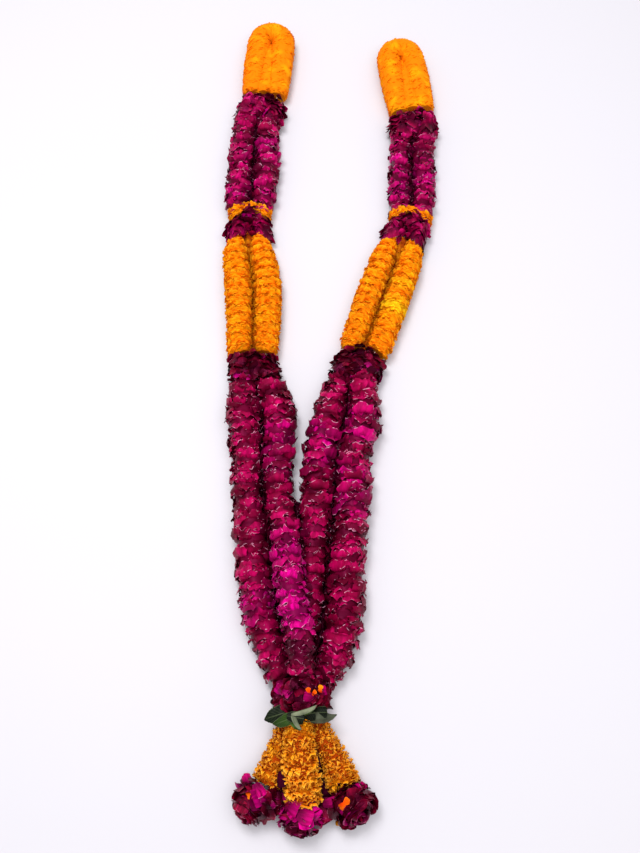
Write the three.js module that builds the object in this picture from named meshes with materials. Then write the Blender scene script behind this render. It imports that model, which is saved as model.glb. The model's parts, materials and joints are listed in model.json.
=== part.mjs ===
// A garland of packed rose petals, whole roses and marigold heads on cotton thread, lying flat.
// X runs across it, +Y towards the two loops at the neck end, +Z up from the surface it lies on.
import * as THREE from "three";

// ---- Driving dimensions, in millimetres ----
const GAP = 0.7; // between two pieces pressed together, and between pieces on one thread
const THREAD_RADIUS = 0.9;
const THREAD_END = 1.4; // from the middle of a cut thread's end to the wound binding
const BORE_RADIUS = 2.3;
const BORE_STEP = { strand: 36, loop: 13 }; // longest straight stretch of a bore
const HEAD_PITCH = 12.4; // one marigold head along its thread
const FOLD_PITCH = 14.2; // one fold of the packed rose petals
const SINK = 0.95; // height of a thread over the surface, as a share of its strand's radius
const LEAD_OUT = 2.4; // how far a thread leaves its strand straight before it turns
const SMOOTHING = 28; // half the stretch of a leg over which its direction is taken
const SQUARE_BELOW = [0, 50]; // Y between which a leg's cross-sections turn square to its middle line

// Places along a leg, from the loop down: Y where each stretch starts and ends
const STRETCHES = {
  left: {
    loop: 398, upperRose: 352, shortPetals: 226, band: 209, middleRose: 174, marigolds: 19, lowerRose: -22,
  },
  right: {
    loop: 372, upperRose: 325, shortPetals: 220, band: 205, middleRose: 166, marigolds: 24, lowerRose: -17,
  },
};
const THREADED_ROSE_RADIUS = { upper: 19.6, middle: 17.6, lower: 19 };

// A loop: the middle of each one's bend, and what both share. Its strand swells from the foot to the bend.
const BEND_CENTRE = { left: [-85.5, 486], right: [92, 459] };
const LOOP = { halfSpacing: 16.2, footRadius: 14.6, swell: 2.6, swellReach: 1.3, eyelet: 1.9, footRoom: 1 };

// The middle line of each leg: Y, X, half the spacing of its two threads, radius of a strand
const LEGS = {
  left: [
    [486, -85.5, 16.2, 16.5], [400, -93, 16, 15.5], [364, -97.5, 16, 16], [352, -102.4, 15.5, 15],
    [326, -104.5, 16, 16], [288, -104.9, 16.7, 17.3], [239, -108.2, 16.5, 16.5], [221, -108.3, 15, 14],
    [203, -108.5, 14.3, 13.4], [180, -109.5, 14.5, 13.6], [157, -108.3, 16, 16], [111, -101.7, 17.8, 18],
    [56, -99.7, 16.8, 16.8], [24, -99.6, 15.8, 15.8], [7, -97.7, 14.8, 14.2], [-14, -96.6, 15.2, 15.2],
    [-30, -94.4, 16, 16],
  ],
  right: [
    [459, 92, 16.2, 16.5], [386, 103, 16, 15.8], [362, 106.5, 16, 16.5], [348, 109, 15.5, 15.5],
    [334, 106.5, 15.6, 15.4], [313, 102.8, 15, 14.6], [288, 102.6, 15.5, 15.2], [239, 99.6, 15.5, 15],
    [215, 98.1, 14.6, 13.8], [191, 93, 15, 14.4], [176, 88.5, 15, 14.6], [157, 81, 16, 15.8],
    [134, 74.1, 16.5, 16.5], [89, 58, 17, 17], [45, 42.4, 16, 16], [29, 35.4, 15.5, 15],
    [10, 29, 15, 14.4], [-6, 25.5, 15.2, 15], [-30, 19, 15.5, 15.5],
  ],
};

// The four long strands down to the knot: Y, X, height of the thread, radius
const LONG_STRANDS = {
  left_outer: [
    [-22, -111, 15, 15.5], [-50, -107.6, 18, 19.2], [-72, -108, 19, 20.3], [-110, -103, 17, 18.2],
    [-148, -102, 16, 17.2], [-191, -97.4, 17, 18], [-236, -92.3, 17, 18.5], [-280, -86.3, 18, 19.5],
    [-315, -78.6, 16.5, 17.8], [-335, -71, 15.5, 16.8], [-350, -63.5, 14.5, 15.8], [-362, -57, 13.8, 15],
  ],
  left_inner: [
    [-22, -81, 15, 15.5], [-50, -69, 18, 19.2], [-72, -67.2, 19, 20.3], [-110, -66.5, 17, 18.2],
    [-148, -67.3, 16.5, 17.3], [-191, -60.8, 22, 18.6], [-236, -53.5, 37, 18.5], [-280, -48.5, 44, 18],
    [-315, -41, 45.5, 17.5], [-335, -39, 43.5, 16.5], [-350, -38, 41, 16], [-362, -37.5, 38, 15.5],
  ],
  right_inner: [
    [-17, 4, 14.5, 15], [-50, -6.2, 18, 19.2], [-72, -10.5, 19.4, 20.7], [-110, -19, 18.8, 20],
    [-148, -21.7, 18.8, 20], [-191, -23.7, 17.4, 18.8], [-236, -27, 16.5, 17.8], [-280, -31, 16.5, 18],
    [-315, -36, 15, 16], [-335, -37.5, 13, 14], [-350, -38, 12, 12.8], [-362, -37, 11.4, 12],
  ],
  right_outer: [
    [-17, 34, 14.5, 15], [-50, 32.8, 18, 19.2], [-72, 31.5, 19.4, 20.7], [-110, 21.5, 18.8, 20],
    [-148, 18.5, 18.8, 20], [-191, 15.9, 19, 20.5], [-236, 11.5, 17.8, 19.2], [-280, 8.8, 19, 20.6],
    [-315, 5, 18.5, 20], [-335, -1, 17.6, 19], [-350, -8.5, 16, 17.4], [-362, -16, 14.6, 16],
  ],
};
const LONG_END = -360.5; // where all four long strands end

// The knot and what is tied round it
const KNOT = { x: -38, z: 24, radius: 6.4, top: -366, foot: -412, windings: 6, groove: 0.9 };
const ENTRY = { across: 3.4, up: 3 }; // how far off the binding's middle the threads meet it
const KNOT_ROSES = {
  top: { root: [-38, -381.5, 31.2], facing: [0, -0.04, 1], length: 27, radius: 25 },
  left: { root: [-45.2, -381.5, 16.5], facing: [-1, 0, 0.06], length: 28, radius: 22 },
  right: { root: [-30.8, -381.5, 16.5], facing: [1, 0, 0.06], length: 28, radius: 22 },
};
// Y limits of the knot's roses, and how steeply the top one's sector starts above the side ones', in degrees
const KNOT_ROOM = { neck: -362.5, foot: -399.5, rise: 36 };
const LEAVES = [ // which way each points, in degrees from +X in the XZ plane; layer; lean of its blade
  { angle: 4, layer: 0, lean: 0.35 }, { angle: 47, layer: 1, lean: 0 }, { angle: 90, layer: 0, lean: 0 },
  { angle: 133, layer: 1, lean: 0 }, { angle: 176, layer: 0, lean: -0.35 },
];
const LEAF = {
  length: 35, half: 12.5, root: 8.8, thick: 0.9, place: -397.5, apart: 2.6, slope: 0.48,
  rows: 7, tooth: 0.08, crease: 0.9, shoulder: 0.08, narrowest: 0.7,
};

// The three tassels: Y, X, height of the thread, radius; and the rose at the end of each
const TASSELS = {
  left: [[-419, -54, 13, 13.6], [-440, -61, 14.5, 15.6], [-454, -67, 15.5, 16.6], [-472, -75, 16, 17]],
  centre: [[-419, -40.2, 40, 15.5], [-440, -38.8, 38, 18], [-454, -37.4, 32, 19], [-490, -34.5, 20, 19.5]],
  right: [[-419, -22, 13, 13.6], [-440, -7, 14.8, 16], [-454, -0.5, 15.8, 17], [-478, 8, 16.5, 17.6]],
};
const TASSEL_END = { left: -463, centre: -484, right: -469 };
const END_ROSE_SPLITS = [-66, -15]; // X where the left and the right one press on the centre one
const END_ROSES = {
  left: { root: [-75.5, -468.5, 16], facing: [-0.66, -0.72, 0.22], length: 33, radius: 23.5 },
  centre: { root: [-35.4, -487, 17], facing: [-0.1, -0.97, 0.2], length: 32, radius: 24 },
  right: { root: [8.5, -475.5, 14], facing: [0.55, -0.7, 0.46], length: 34, radius: 26.5 },
};

// Cross-sections: how many sides, and the share of the free reach at each place along a head or a fold
const HEAD = { sides: 10, end: 0.8, valley: [0.78, 0.84], crest: 1, notch: 0.88 };
const FOLD = {
  sides: 12, end: 0.84, valley: [0.76, 0.84], low: [0.85, 0.92], high: [0.96, 1], wander: 0.8, wave: [0.6, 2],
};
const ROSE_SIDES = 10;
const BLOOM = { sides: 15, lobes: 5 };
const CORD_SIDES = 4;

const UP = new THREE.Vector3(0, 0, 1);
const TAU = 2 * Math.PI;
const COLOURS = {
  petal: "#9c0f4e", rose: "#6d0a35", marigold: "#ef8a08", thread: "#d9cdb4", leaf: "#2c4a24",
};
const ROUGHNESS = { petal: 0.6, rose: 0.55, marigold: 0.8, thread: 0.9, leaf: 0.4 };

const garland = new THREE.Group();

let seed = 20;
function random(low, high) { // a repeatable draw
  seed = (seed * 1664525 + 1013904223) % 4294967296;
  return low + (high - low) * (seed / 4294967296);
}

// ---- Closed surfaces from rings of points ----
function stitch(triangles, a, b) { // a belt of triangles between two rings of point numbers
  const [n, m] = [a.length, b.length];
  let [i, j] = [0, 0];
  while (i < n || j < m) {
    if (j === m || (i < n && (i + 1) * m <= (j + 1) * n)) {
      triangles.push(a[i % n], a[(i + 1) % n], b[j % m]);
      i += 1;
    } else {
      triangles.push(a[i % n], b[(j + 1) % m], b[j % m]);
      j += 1;
    }
  }
}

function signedVolume(points, triangles) {
  let sum = 0;
  for (let i = 0; i < triangles.length; i += 3) {
    const [a, b, c] = [points[triangles[i]], points[triangles[i + 1]], points[triangles[i + 2]]];
    sum += a.dot(new THREE.Vector3().crossVectors(b, c));
  }
  return sum / 6;
}

function geometry(points, triangles) { // faces turned outwards
  if (signedVolume(points, triangles) < 0) triangles.reverse();
  const shape = new THREE.BufferGeometry();
  shape.setAttribute("position", new THREE.Float32BufferAttribute(points.flatMap((p) => [p.x, p.y, p.z]), 3));
  shape.setIndex(triangles);
  shape.computeVertexNormals();
  return shape;
}

function loft(rings, throughBore) { // the last ring closes on the first, or both are capped
  const points = rings.flat();
  const numbers = [];
  let next = 0;
  for (const ring of rings) {
    numbers.push(ring.map(() => next++));
  }
  const triangles = [];
  for (let i = 0; i + 1 < rings.length; i++) stitch(triangles, numbers[i], numbers[i + 1]);
  const last = rings.length - 1;
  if (throughBore) {
    stitch(triangles, numbers[last], numbers[0]);
  } else {
    cap(points, triangles, numbers[0], false);
    cap(points, triangles, numbers[last], true);
  }
  return geometry(points, triangles);
}

function cap(points, triangles, ring, forward) { // a fan to the middle of an end ring
  const middle = new THREE.Vector3();
  for (const number of ring) middle.addScaledVector(points[number], 1 / ring.length);
  const tip = points.push(middle) - 1;
  ring.forEach((number, i) => {
    const other = ring[(i + 1) % ring.length];
    triangles.push(...(forward ? [number, other, tip] : [other, number, tip]));
  });
}

function add(name, shape, look) {
  const material = new THREE.MeshStandardMaterial({
    color: COLOURS[look], roughness: ROUGHNESS[look], metalness: 0,
  });
  const mesh = new THREE.Mesh(shape, material);
  mesh.name = name;
  garland.add(mesh);
}

// ---- Tables read as smooth curves ----
function rowAt(rows, y) { // every column at Y, by cubic steps through the rows
  const rising = rows[0][0] > rows[1][0] ? [...rows].reverse() : rows;
  const last = rising.length - 1;
  const above = rising.findIndex((row) => row[0] > y);
  const i = above < 0 ? last - 1 : Math.max(0, above - 1);
  const [p, q] = [rising[i], rising[i + 1]];
  const before = rising[Math.max(0, i - 1)];
  const after = rising[Math.min(last, i + 2)];
  const t = (y - p[0]) / (q[0] - p[0]);
  const width = q[0] - p[0];
  return p.map((value, column) => {
    const slopeIn = ((q[column] - before[column]) / (q[0] - before[0])) * width;
    const slopeOut = ((after[column] - value) / (after[0] - p[0])) * width;
    const [t2, t3] = [t * t, t * t * t];
    return (2 * t3 - 3 * t2 + 1) * value + (t3 - 2 * t2 + t) * slopeIn
      + (3 * t2 - 2 * t3) * q[column] + (t3 - t2) * slopeOut;
  });
}

// ---- Frames: the middle of a cross-section, its two directions, its radius and what it presses on ----
function frame(centre, side, radius, walls) {
  const along = new THREE.Vector3().crossVectors(UP, side).normalize();
  const floor = { normal: UP.clone().negate(), distance: centre.z };
  return { centre, side, along, radius, walls: [...walls, floor] };
}

function legFrame(leg, hand) { // one of the two strands of a leg: hand is -1 left, 1 right
  return (y, radius = 0) => {
    const [, x, half, tabled] = rowAt(LEGS[leg], y);
    const square = THREE.MathUtils.smoothstep(y, ...SQUARE_BELOW); // cut at constant Y near the long strands
    const drift = rowAt(LEGS[leg], y + SMOOTHING)[1] - rowAt(LEGS[leg], y - SMOOTHING)[1];
    const side = new THREE.Vector3(2 * SMOOTHING, -square * drift, 0).normalize().multiplyScalar(hand);
    const centre = new THREE.Vector3(x, y, tabled * SINK).addScaledVector(side, half);
    const partner = { normal: side.clone().negate(), distance: half - GAP / 2 };
    return frame(centre, side, radius || tabled, [partner]);
  };
}

function wallTo(centre, radius, other, otherRadius) { // shared by two neighbours in proportion to size
  const between = other.clone().sub(centre);
  const distance = (between.length() * radius) / (radius + otherRadius) - GAP / 2;
  return { normal: between.normalize(), distance };
}

function sheafFrame(tables, name) { // one strand among others, cut at constant Y
  const place = (key, y) => {
    const [, x, z, radius] = rowAt(tables[key], y);
    return { centre: new THREE.Vector3(x, y, z), radius };
  };
  return (y) => {
    const own = place(name, y);
    const others = Object.keys(tables).filter((key) => key !== name).map((key) => place(key, y));
    const walls = others.map((other) => wallTo(own.centre, own.radius, other.centre, other.radius));
    return frame(own.centre, new THREE.Vector3(1, 0, 0), own.radius, walls);
  };
}

function loopFrame(leg, hand) { // up one side, round the bend and down the other
  const footRow = rowAt(LEGS[leg], STRETCHES[leg].loop);
  const foot = new THREE.Vector3(footRow[1], footRow[0], 0);
  const bend = new THREE.Vector3(...BEND_CENTRE[leg], 0);
  const straight = foot.distanceTo(bend);
  const ahead = bend.clone().sub(foot).normalize();
  const across = new THREE.Vector3().crossVectors(ahead, UP).multiplyScalar(hand);
  const half = LOOP.halfSpacing;
  const arc = Math.PI * half;
  const at = (s) => {
    const turn = THREE.MathUtils.clamp((s - straight) / half, 0, Math.PI);
    const side = across.clone().multiplyScalar(Math.cos(turn)).addScaledVector(ahead, Math.sin(turn));
    const run = Math.max(0, Math.min(s, 2 * straight + arc - s, straight));
    const radius = LOOP.footRadius + LOOP.swell * Math.sin((Math.PI * run) / (LOOP.swellReach * straight));
    const centre = foot.clone().addScaledVector(ahead, run).addScaledVector(side, half);
    centre.z = radius * SINK;
    const eye = GAP / 2 + (LOOP.eyelet - GAP / 2) * Math.sin(turn) ** 0.5;
    return frame(centre, side, radius, [{ normal: side.clone().negate(), distance: half - eye }]);
  };
  return { at, length: 2 * straight + arc };
}

function reach(cut, direction, wanted) { // how far a petal gets before a neighbour or the floor stops it
  let free = wanted;
  for (const wall of cut.walls) {
    const facing = wall.normal.dot(direction);
    if (facing > 1e-3) free = Math.min(free, wall.distance / facing);
  }
  return free;
}

function ring(cut, sides, share, shift = () => 0) { // share of the free reach, and shift along the thread
  return Array.from({ length: sides }, (_, j) => {
    const angle = (TAU * j) / sides - Math.PI / 2;
    const direction = cut.side.clone().multiplyScalar(Math.cos(angle)).addScaledVector(UP, Math.sin(angle));
    const free = reach(cut, direction, cut.radius) * share(j);
    return cut.centre.clone().addScaledVector(direction, free).addScaledVector(cut.along, shift(j));
  });
}

function boreRings(cuts) {
  return cuts.map((cut) => Array.from({ length: CORD_SIDES }, (_, j) => {
    const angle = (TAU * j) / CORD_SIDES - Math.PI / 2;
    return cut.centre.clone()
      .addScaledVector(cut.side, BORE_RADIUS * Math.cos(angle))
      .addScaledVector(UP, BORE_RADIUS * Math.sin(angle));
  }));
}

function divided(from, to, longest) {
  const count = Math.max(1, Math.ceil(Math.abs(to - from) / longest));
  return Array.from({ length: count + 1 }, (_, i) => from + ((to - from) * i) / count);
}

// ---- What is threaded: marigold heads, packed petals and whole roses ----
// Each builder takes a frame function and where the piece starts and ends, and adds its stretch to the route.
function marigoldHeads(at, from, to, route, step = BORE_STEP.strand) {
  const { sides, end, valley, crest, notch } = HEAD;
  const rings = [ring(at(from), sides, () => end)];
  const heads = Math.max(1, Math.round(Math.abs(to - from) / HEAD_PITCH));
  const pitch = (to - from) / heads;
  for (let k = 0; k < heads; k++) {
    const start = from + k * pitch;
    if (k > 0) rings.push(ring(at(start), sides, () => random(...valley)));
    rings.push(ring(at(start + 0.5 * pitch), sides, (j) => (j % 2 === k % 2 ? crest : notch)));
  }
  rings.push(ring(at(to), sides, () => end));
  return threaded(rings, at, from, to, route, step);
}

function packedPetals(at, from, to, route) {
  const { sides, end, valley, low, high, wander, wave } = FOLD;
  const rings = [ring(at(from), sides, () => end)];
  const folds = Math.max(1, Math.round(Math.abs(to - from) / FOLD_PITCH));
  const pitch = (to - from) / folds;
  for (let k = 0; k < folds; k++) {
    const start = from + k * pitch;
    const turn = Math.floor(random(0, 2));
    if (k > 0) rings.push(ring(at(start), sides, () => random(...valley), () => random(-wander, wander)));
    const crest = (j) => ((j + turn) % 2 ? random(...low) : random(...high));
    const shift = (j) => ((j + turn) % 2 ? -1 : 1) * random(...wave);
    rings.push(ring(at(start + 0.5 * pitch), sides, crest, shift));
  }
  rings.push(ring(at(to), sides, () => end));
  return threaded(rings, at, from, to, route, BORE_STEP.strand);
}

// Tiers of a rose from its back to its face: how far along, share of the radius, lobe depth, lobe turn
const THREADED_TIERS = [
  [0.02, 0.5, 0, 0], [0.4, 1, 0, 0], [0.86, 1, 0.15, 0], [0.62, 0.7, 0, 0],
  [0.96, 0.74, 0.16, 1], [0.72, 0.44, 0, 0], [0.98, 0.42, 0.14, 0],
];

function threadedRose(at, from, to, radius, route) { // faces towards its end
  const rings = THREADED_TIERS.map(([along, share, depth, turn]) => {
    const cut = at(from + (to - from) * along, radius);
    return ring(cut, ROSE_SIDES, (j) => share * ((j + turn) % 2 ? 1 - depth : 1));
  });
  const cuts = [from, to].map((y) => at(y, radius));
  route.push(...cuts.map((cut) => cut.centre));
  return loft([...rings, ...boreRings([...cuts].reverse())], true);
}

function threaded(rings, at, from, to, route, step) {
  const cuts = divided(from, to, step).map((s) => at(s));
  route.push(...cuts.map((cut) => cut.centre));
  return loft([...rings, ...boreRings([...cuts].reverse())], true);
}

const BLOOM_TIERS = [
  [0, 0.14, 0, 0], [0.16, 0.5, 0, 0], [0.46, 0.94, 0.05, 0], [0.74, 1, 0.16, 0], [0.56, 0.74, 0, 0],
  [0.9, 0.76, 0.16, 1], [0.7, 0.48, 0, 0], [1, 0.44, 0.18, 0], [0.84, 0.16, 0, 0],
];

function bloom({ root, facing, length, radius }, walls = []) { // a whole rose with no thread through it
  const axis = new THREE.Vector3(...facing).normalize();
  const upright = Math.abs(axis.z) > 0.9;
  const side = upright ? new THREE.Vector3(1, 0, 0) : new THREE.Vector3().crossVectors(axis, UP).normalize();
  const lift = new THREE.Vector3().crossVectors(side, axis).normalize();
  const rings = BLOOM_TIERS.map(([along, share, depth, turn]) => {
    const centre = new THREE.Vector3(...root).addScaledVector(axis, along * length);
    const floor = { normal: UP.clone().negate(), distance: centre.z };
    const others = walls.map(({ normal, offset }) => ({ normal, distance: offset - normal.dot(centre) }));
    return Array.from({ length: BLOOM.sides }, (_, j) => {
      const angle = (TAU * j) / BLOOM.sides;
      const direction = side.clone().multiplyScalar(Math.cos(angle)).addScaledVector(lift, Math.sin(angle));
      const lobe = 1 - depth * (0.5 - 0.5 * Math.cos(BLOOM.lobes * angle + turn * Math.PI));
      const free = reach({ walls: [floor, ...others] }, direction, radius) * share * lobe;
      return centre.clone().addScaledVector(direction, free);
    });
  });
  return loft(rings, false);
}

function thread(route) { // a square cord through every bore of the route
  const rings = route.map((point, i) => {
    const before = route[Math.max(0, i - 1)];
    const after = route[Math.min(route.length - 1, i + 1)];
    const along = after.clone().sub(before).normalize();
    const side = new THREE.Vector3().crossVectors(along, UP).normalize();
    const lift = new THREE.Vector3().crossVectors(side, along);
    return Array.from({ length: CORD_SIDES }, (_, j) => {
      const angle = (TAU * j) / CORD_SIDES - Math.PI / 2;
      return point.clone()
        .addScaledVector(side, THREAD_RADIUS * Math.cos(angle))
        .addScaledVector(lift, THREAD_RADIUS * Math.sin(angle));
    });
  });
  return loft(rings, false);
}

// ---- The two legs: up the outer strand, round the loop and down the inner one, on one thread ----
function knotPoint(hand, level, y) { // where a thread meets the binding
  return new THREE.Vector3(KNOT.x + ENTRY.across * hand, y, KNOT.z + ENTRY.up * level);
}

function leadOut(tables, name, y, ahead) { // a thread leaves its strand straight before it turns
  return sheafFrame(tables, name)(y).centre.add(new THREE.Vector3(0, LEAD_OUT * ahead, 0));
}

function strand(leg, place, hand, upwards, route) {
  const at = legFrame(leg, hand);
  const ends = STRETCHES[leg];
  const longAt = sheafFrame(LONG_STRANDS, `${leg}_${place}`);
  const petals = (frames) => (a, b) => packedPetals(frames, a, b, route);
  const marigolds = (a, b) => marigoldHeads(at, a, b, route);
  const rose = (level) => (a, b) => roseOn(at, a, b, THREADED_ROSE_RADIUS[level], route);
  const make = [ // name, look, builder, lower end, upper end
    ["long_petals", "petal", petals(longAt), LONG_END - GAP / 2, ends.lowerRose],
    ["lower_rose", "rose", rose("lower"), ends.lowerRose, ends.marigolds],
    ["marigolds", "marigold", marigolds, ends.marigolds, ends.middleRose],
    ["middle_rose", "rose", rose("middle"), ends.middleRose, ends.band],
    ["band_marigold", "marigold", marigolds, ends.band, ends.shortPetals],
    ["short_petals", "petal", petals(at), ends.shortPetals, ends.upperRose],
    ["upper_rose", "rose", rose("upper"), ends.upperRose, ends.loop - LOOP.footRoom],
  ];
  for (const [piece, look, build, low, high] of upwards ? make : make.reverse()) {
    const [foot, top] = [low + GAP / 2, high - GAP / 2];
    add(`${leg}_${place}_${piece}`, upwards ? build(foot, top) : build(top, foot), look);
  }
}

function roseOn(at, from, to, radius, route) { // every threaded rose faces the foot of the garland
  const own = [];
  const shape = threadedRose(at, Math.max(from, to), Math.min(from, to), radius, own);
  route.push(...(from < to ? own.reverse() : own));
  return shape;
}

function leg(name, outerHand) {
  const route = [knotPoint(outerHand, -0.4, KNOT.top + THREAD_END)];
  route.push(leadOut(LONG_STRANDS, `${name}_outer`, LONG_END, -1));
  strand(name, "outer", outerHand, true, route);
  const loop = loopFrame(name, outerHand);
  add(`${name}_marigold_loop`, marigoldHeads(loop.at, 0, loop.length, route, BORE_STEP.loop), "marigold");
  strand(name, "inner", -outerHand, false, route);
  route.push(leadOut(LONG_STRANDS, `${name}_inner`, LONG_END, -1));
  const level = name === "left" ? 1 : -1;
  route.push(knotPoint(0, level, KNOT.top + THREAD_END));
  add(`${name}_thread`, thread(route), "thread");
}

// ---- The knot: wound thread, three roses and a collar of leaves ----
function knotBinding() {
  const steps = 2 * KNOT.windings;
  const length = KNOT.top - KNOT.foot;
  const profile = [new THREE.Vector2(0, 0)];
  for (let i = 0; i <= steps; i++) {
    const radius = KNOT.radius - (i % 2 ? 0 : KNOT.groove);
    profile.push(new THREE.Vector2(radius, (length * i) / steps));
  }
  profile.push(new THREE.Vector2(0, length));
  const shape = new THREE.LatheGeometry(profile, HEAD.sides);
  shape.translate(KNOT.x, KNOT.foot, KNOT.z);
  return shape;
}

function knotRoom() { // the planes that each of the three roses is pressed against
  const rise = THREE.MathUtils.degToRad(KNOT_ROOM.rise);
  const towards = (hand) => new THREE.Vector3(hand * Math.sin(rise), 0, -Math.cos(rise)); // top to side
  const middle = new THREE.Vector3(KNOT.x, 0, KNOT.z);
  const plane = (normal) => ({ normal, offset: normal.dot(middle) - GAP / 2 });
  const ends = [
    { normal: new THREE.Vector3(0, 1, 0), offset: KNOT_ROOM.neck },
    { normal: new THREE.Vector3(0, -1, 0), offset: -KNOT_ROOM.foot },
  ];
  return {
    top: [...ends, plane(towards(-1)), plane(towards(1))],
    left: [...ends, plane(towards(-1).negate())],
    right: [...ends, plane(towards(1).negate())],
  };
}

function leaf({ angle, layer, lean }) { // a toothed blade, creased along its midrib, in a cone round the knot
  const turn = THREE.MathUtils.degToRad(angle);
  const out = new THREE.Vector3(Math.cos(turn), 0, Math.sin(turn));
  const across = new THREE.Vector3(-Math.sin(turn), 0, Math.cos(turn));
  const points = [];
  for (const face of [0, LEAF.thick]) {
    for (let i = 0; i <= LEAF.rows; i++) {
      const t = i / LEAF.rows;
      const width = leafHalfWidth(t) * (i % 2 ? 1 + LEAF.tooth : 1 - LEAF.tooth);
      for (const edge of [-1, 0, 1]) {
        const radial = LEAF.root + LEAF.length * t * (1 - 0.08 * Math.abs(edge));
        const point = new THREE.Vector3(KNOT.x, 0, KNOT.z).addScaledVector(out, radial);
        point.addScaledVector(across, edge * width);
        const crease = LEAF.crease * Math.abs(edge) * Math.sin(Math.PI * t);
        const fall = LEAF.slope * Math.hypot(radial, edge * width);
        point.y = LEAF.place - LEAF.apart * layer - fall + lean * edge * width + crease - face;
        points.push(point);
      }
    }
  }
  return geometry(points, leafTriangles(LEAF.rows));
}

function leafHalfWidth(t) { // widest near its middle, and not quite a point at its ends
  const swell = Math.sin(Math.PI * Math.min(1, LEAF.shoulder + (1 - LEAF.shoulder) * t)) ** 0.8;
  return Math.max(LEAF.narrowest, LEAF.half * swell);
}

function leafTriangles(rows) { // both faces split alike, then the rim
  const triangles = [];
  const back = 3 * (rows + 1);
  for (let i = 0; i < rows; i++) {
    for (const k of [0, 1]) {
      const [a, b, c, d] = [3 * i + k, 3 * i + k + 1, 3 * i + k + 3, 3 * i + k + 4];
      triangles.push(a, b, d, a, d, c, a + back, d + back, b + back, a + back, c + back, d + back);
    }
  }
  const rim = [0, 1];
  for (let i = 0; i <= rows; i++) rim.push(3 * i + 2);
  rim.push(3 * rows + 1);
  for (let i = rows; i > 0; i--) rim.push(3 * i);
  rim.forEach((a, i) => {
    const b = rim[(i + 1) % rim.length];
    triangles.push(b, a, a + back, b, a + back, b + back);
  });
  return triangles;
}

// ---- The tassels: marigolds on a short thread, with a whole rose at the foot ----
const TASSEL_HAND = { left: -1, centre: 0, right: 1 };

function endRoseWalls(name) { // where a tassel's rose is pressed flat by the next one
  const splits = { left: [null, 0], centre: [0, 1], right: [1, null] };
  return splits[name].flatMap((split, i) => {
    if (split === null) return [];
    const hand = i ? 1 : -1;
    return [{ normal: new THREE.Vector3(hand, 0, 0), offset: hand * END_ROSE_SPLITS[split] - GAP / 2 }];
  });
}

function tassel(name) {
  const hand = TASSEL_HAND[name];
  const level = hand ? -0.6 : 0.9; // the centre one's thread enters the binding above the others
  const start = TASSELS[name][0][0];
  const route = [knotPoint(hand, level, KNOT.foot - THREAD_END), leadOut(TASSELS, name, start, 1)];
  add(`tassel_${name}`, marigoldHeads(sheafFrame(TASSELS, name), start, TASSEL_END[name], route), "marigold");
  add(`tassel_thread_${name}`, thread(route), "thread");
  add(`end_rose_${name}`, bloom(END_ROSES[name], endRoseWalls(name)), "rose");
}

// ---- Put together ----
leg("left", -1);
leg("right", 1);
add("knot_binding", knotBinding(), "thread");
const room = knotRoom();
for (const [name, rose] of Object.entries(KNOT_ROSES)) {
  add(`knot_rose_${name}`, bloom(rose, room[name]), "rose");
}
LEAVES.forEach((place, i) => add(`leaf_${i + 1}`, leaf(place), "leaf"));
for (const name of Object.keys(TASSELS)) tassel(name);

// The origin is under the middle of the box round the whole garland
const box = new THREE.Box3().setFromObject(garland);
const middle = box.getCenter(new THREE.Vector3());
garland.position.set(-middle.x, -middle.y, -box.min.z);
garland.updateMatrixWorld(true);

export default garland;
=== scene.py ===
"""A rose and marigold garland laid out on a table: two legs of paired strands, a knot with leaves, three
tassels."""

import json
import math
from functools import partial

import bpy
import numpy as np
from mathutils import Matrix, Vector
from mathutils.bvhtree import BVHTree

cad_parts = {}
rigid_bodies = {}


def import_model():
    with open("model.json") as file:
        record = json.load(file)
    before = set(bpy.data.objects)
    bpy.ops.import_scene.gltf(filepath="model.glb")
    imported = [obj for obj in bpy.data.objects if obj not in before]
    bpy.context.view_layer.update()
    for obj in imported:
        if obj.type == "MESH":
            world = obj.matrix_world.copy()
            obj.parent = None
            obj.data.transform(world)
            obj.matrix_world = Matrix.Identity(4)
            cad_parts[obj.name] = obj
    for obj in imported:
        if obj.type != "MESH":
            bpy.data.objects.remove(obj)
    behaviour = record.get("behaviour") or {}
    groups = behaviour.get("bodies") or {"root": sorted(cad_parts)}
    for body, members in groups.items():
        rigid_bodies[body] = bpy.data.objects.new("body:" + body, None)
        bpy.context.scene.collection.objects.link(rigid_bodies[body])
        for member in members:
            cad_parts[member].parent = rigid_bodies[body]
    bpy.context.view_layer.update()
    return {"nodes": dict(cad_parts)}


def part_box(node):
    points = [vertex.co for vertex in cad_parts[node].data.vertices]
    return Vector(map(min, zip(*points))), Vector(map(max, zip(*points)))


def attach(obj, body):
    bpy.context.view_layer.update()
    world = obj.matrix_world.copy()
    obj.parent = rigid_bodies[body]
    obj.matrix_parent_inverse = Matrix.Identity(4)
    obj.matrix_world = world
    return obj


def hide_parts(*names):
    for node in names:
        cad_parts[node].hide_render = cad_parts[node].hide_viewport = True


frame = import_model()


# ---- The room: a plain pale table top, soft daylight from a large window, a camera above the knot end ----
# The table top is matt white laminate. The light comes from overhead, a little from the upper left, and a
# pale room fills the shadows.
def linear(hex_colour):
    """An sRGB hex colour as linear red, green, blue and 1."""
    parts = [int(hex_colour[i : i + 2], 16) / 255 for i in (1, 3, 5)]
    return [c / 12.92 if c <= 0.04045 else ((c + 0.055) / 1.055) ** 2.4 for c in parts] + [1.0]


def node(tree, kind, links=(), **settings):
    """Adds a node. settings are its own choices; links fill its inputs with a value, a socket, or a node's
    output."""
    made = tree.nodes.new(kind)
    for key, value in settings.items():
        setattr(made, key, value)
    for key, value in dict(links).items():
        if isinstance(value, bpy.types.Node):
            value = next(socket for socket in value.outputs if socket.enabled)
        if isinstance(value, bpy.types.NodeSocket):
            tree.links.new(value, made.inputs[key])
        else:
            made.inputs[key].default_value = value
    return made


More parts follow.
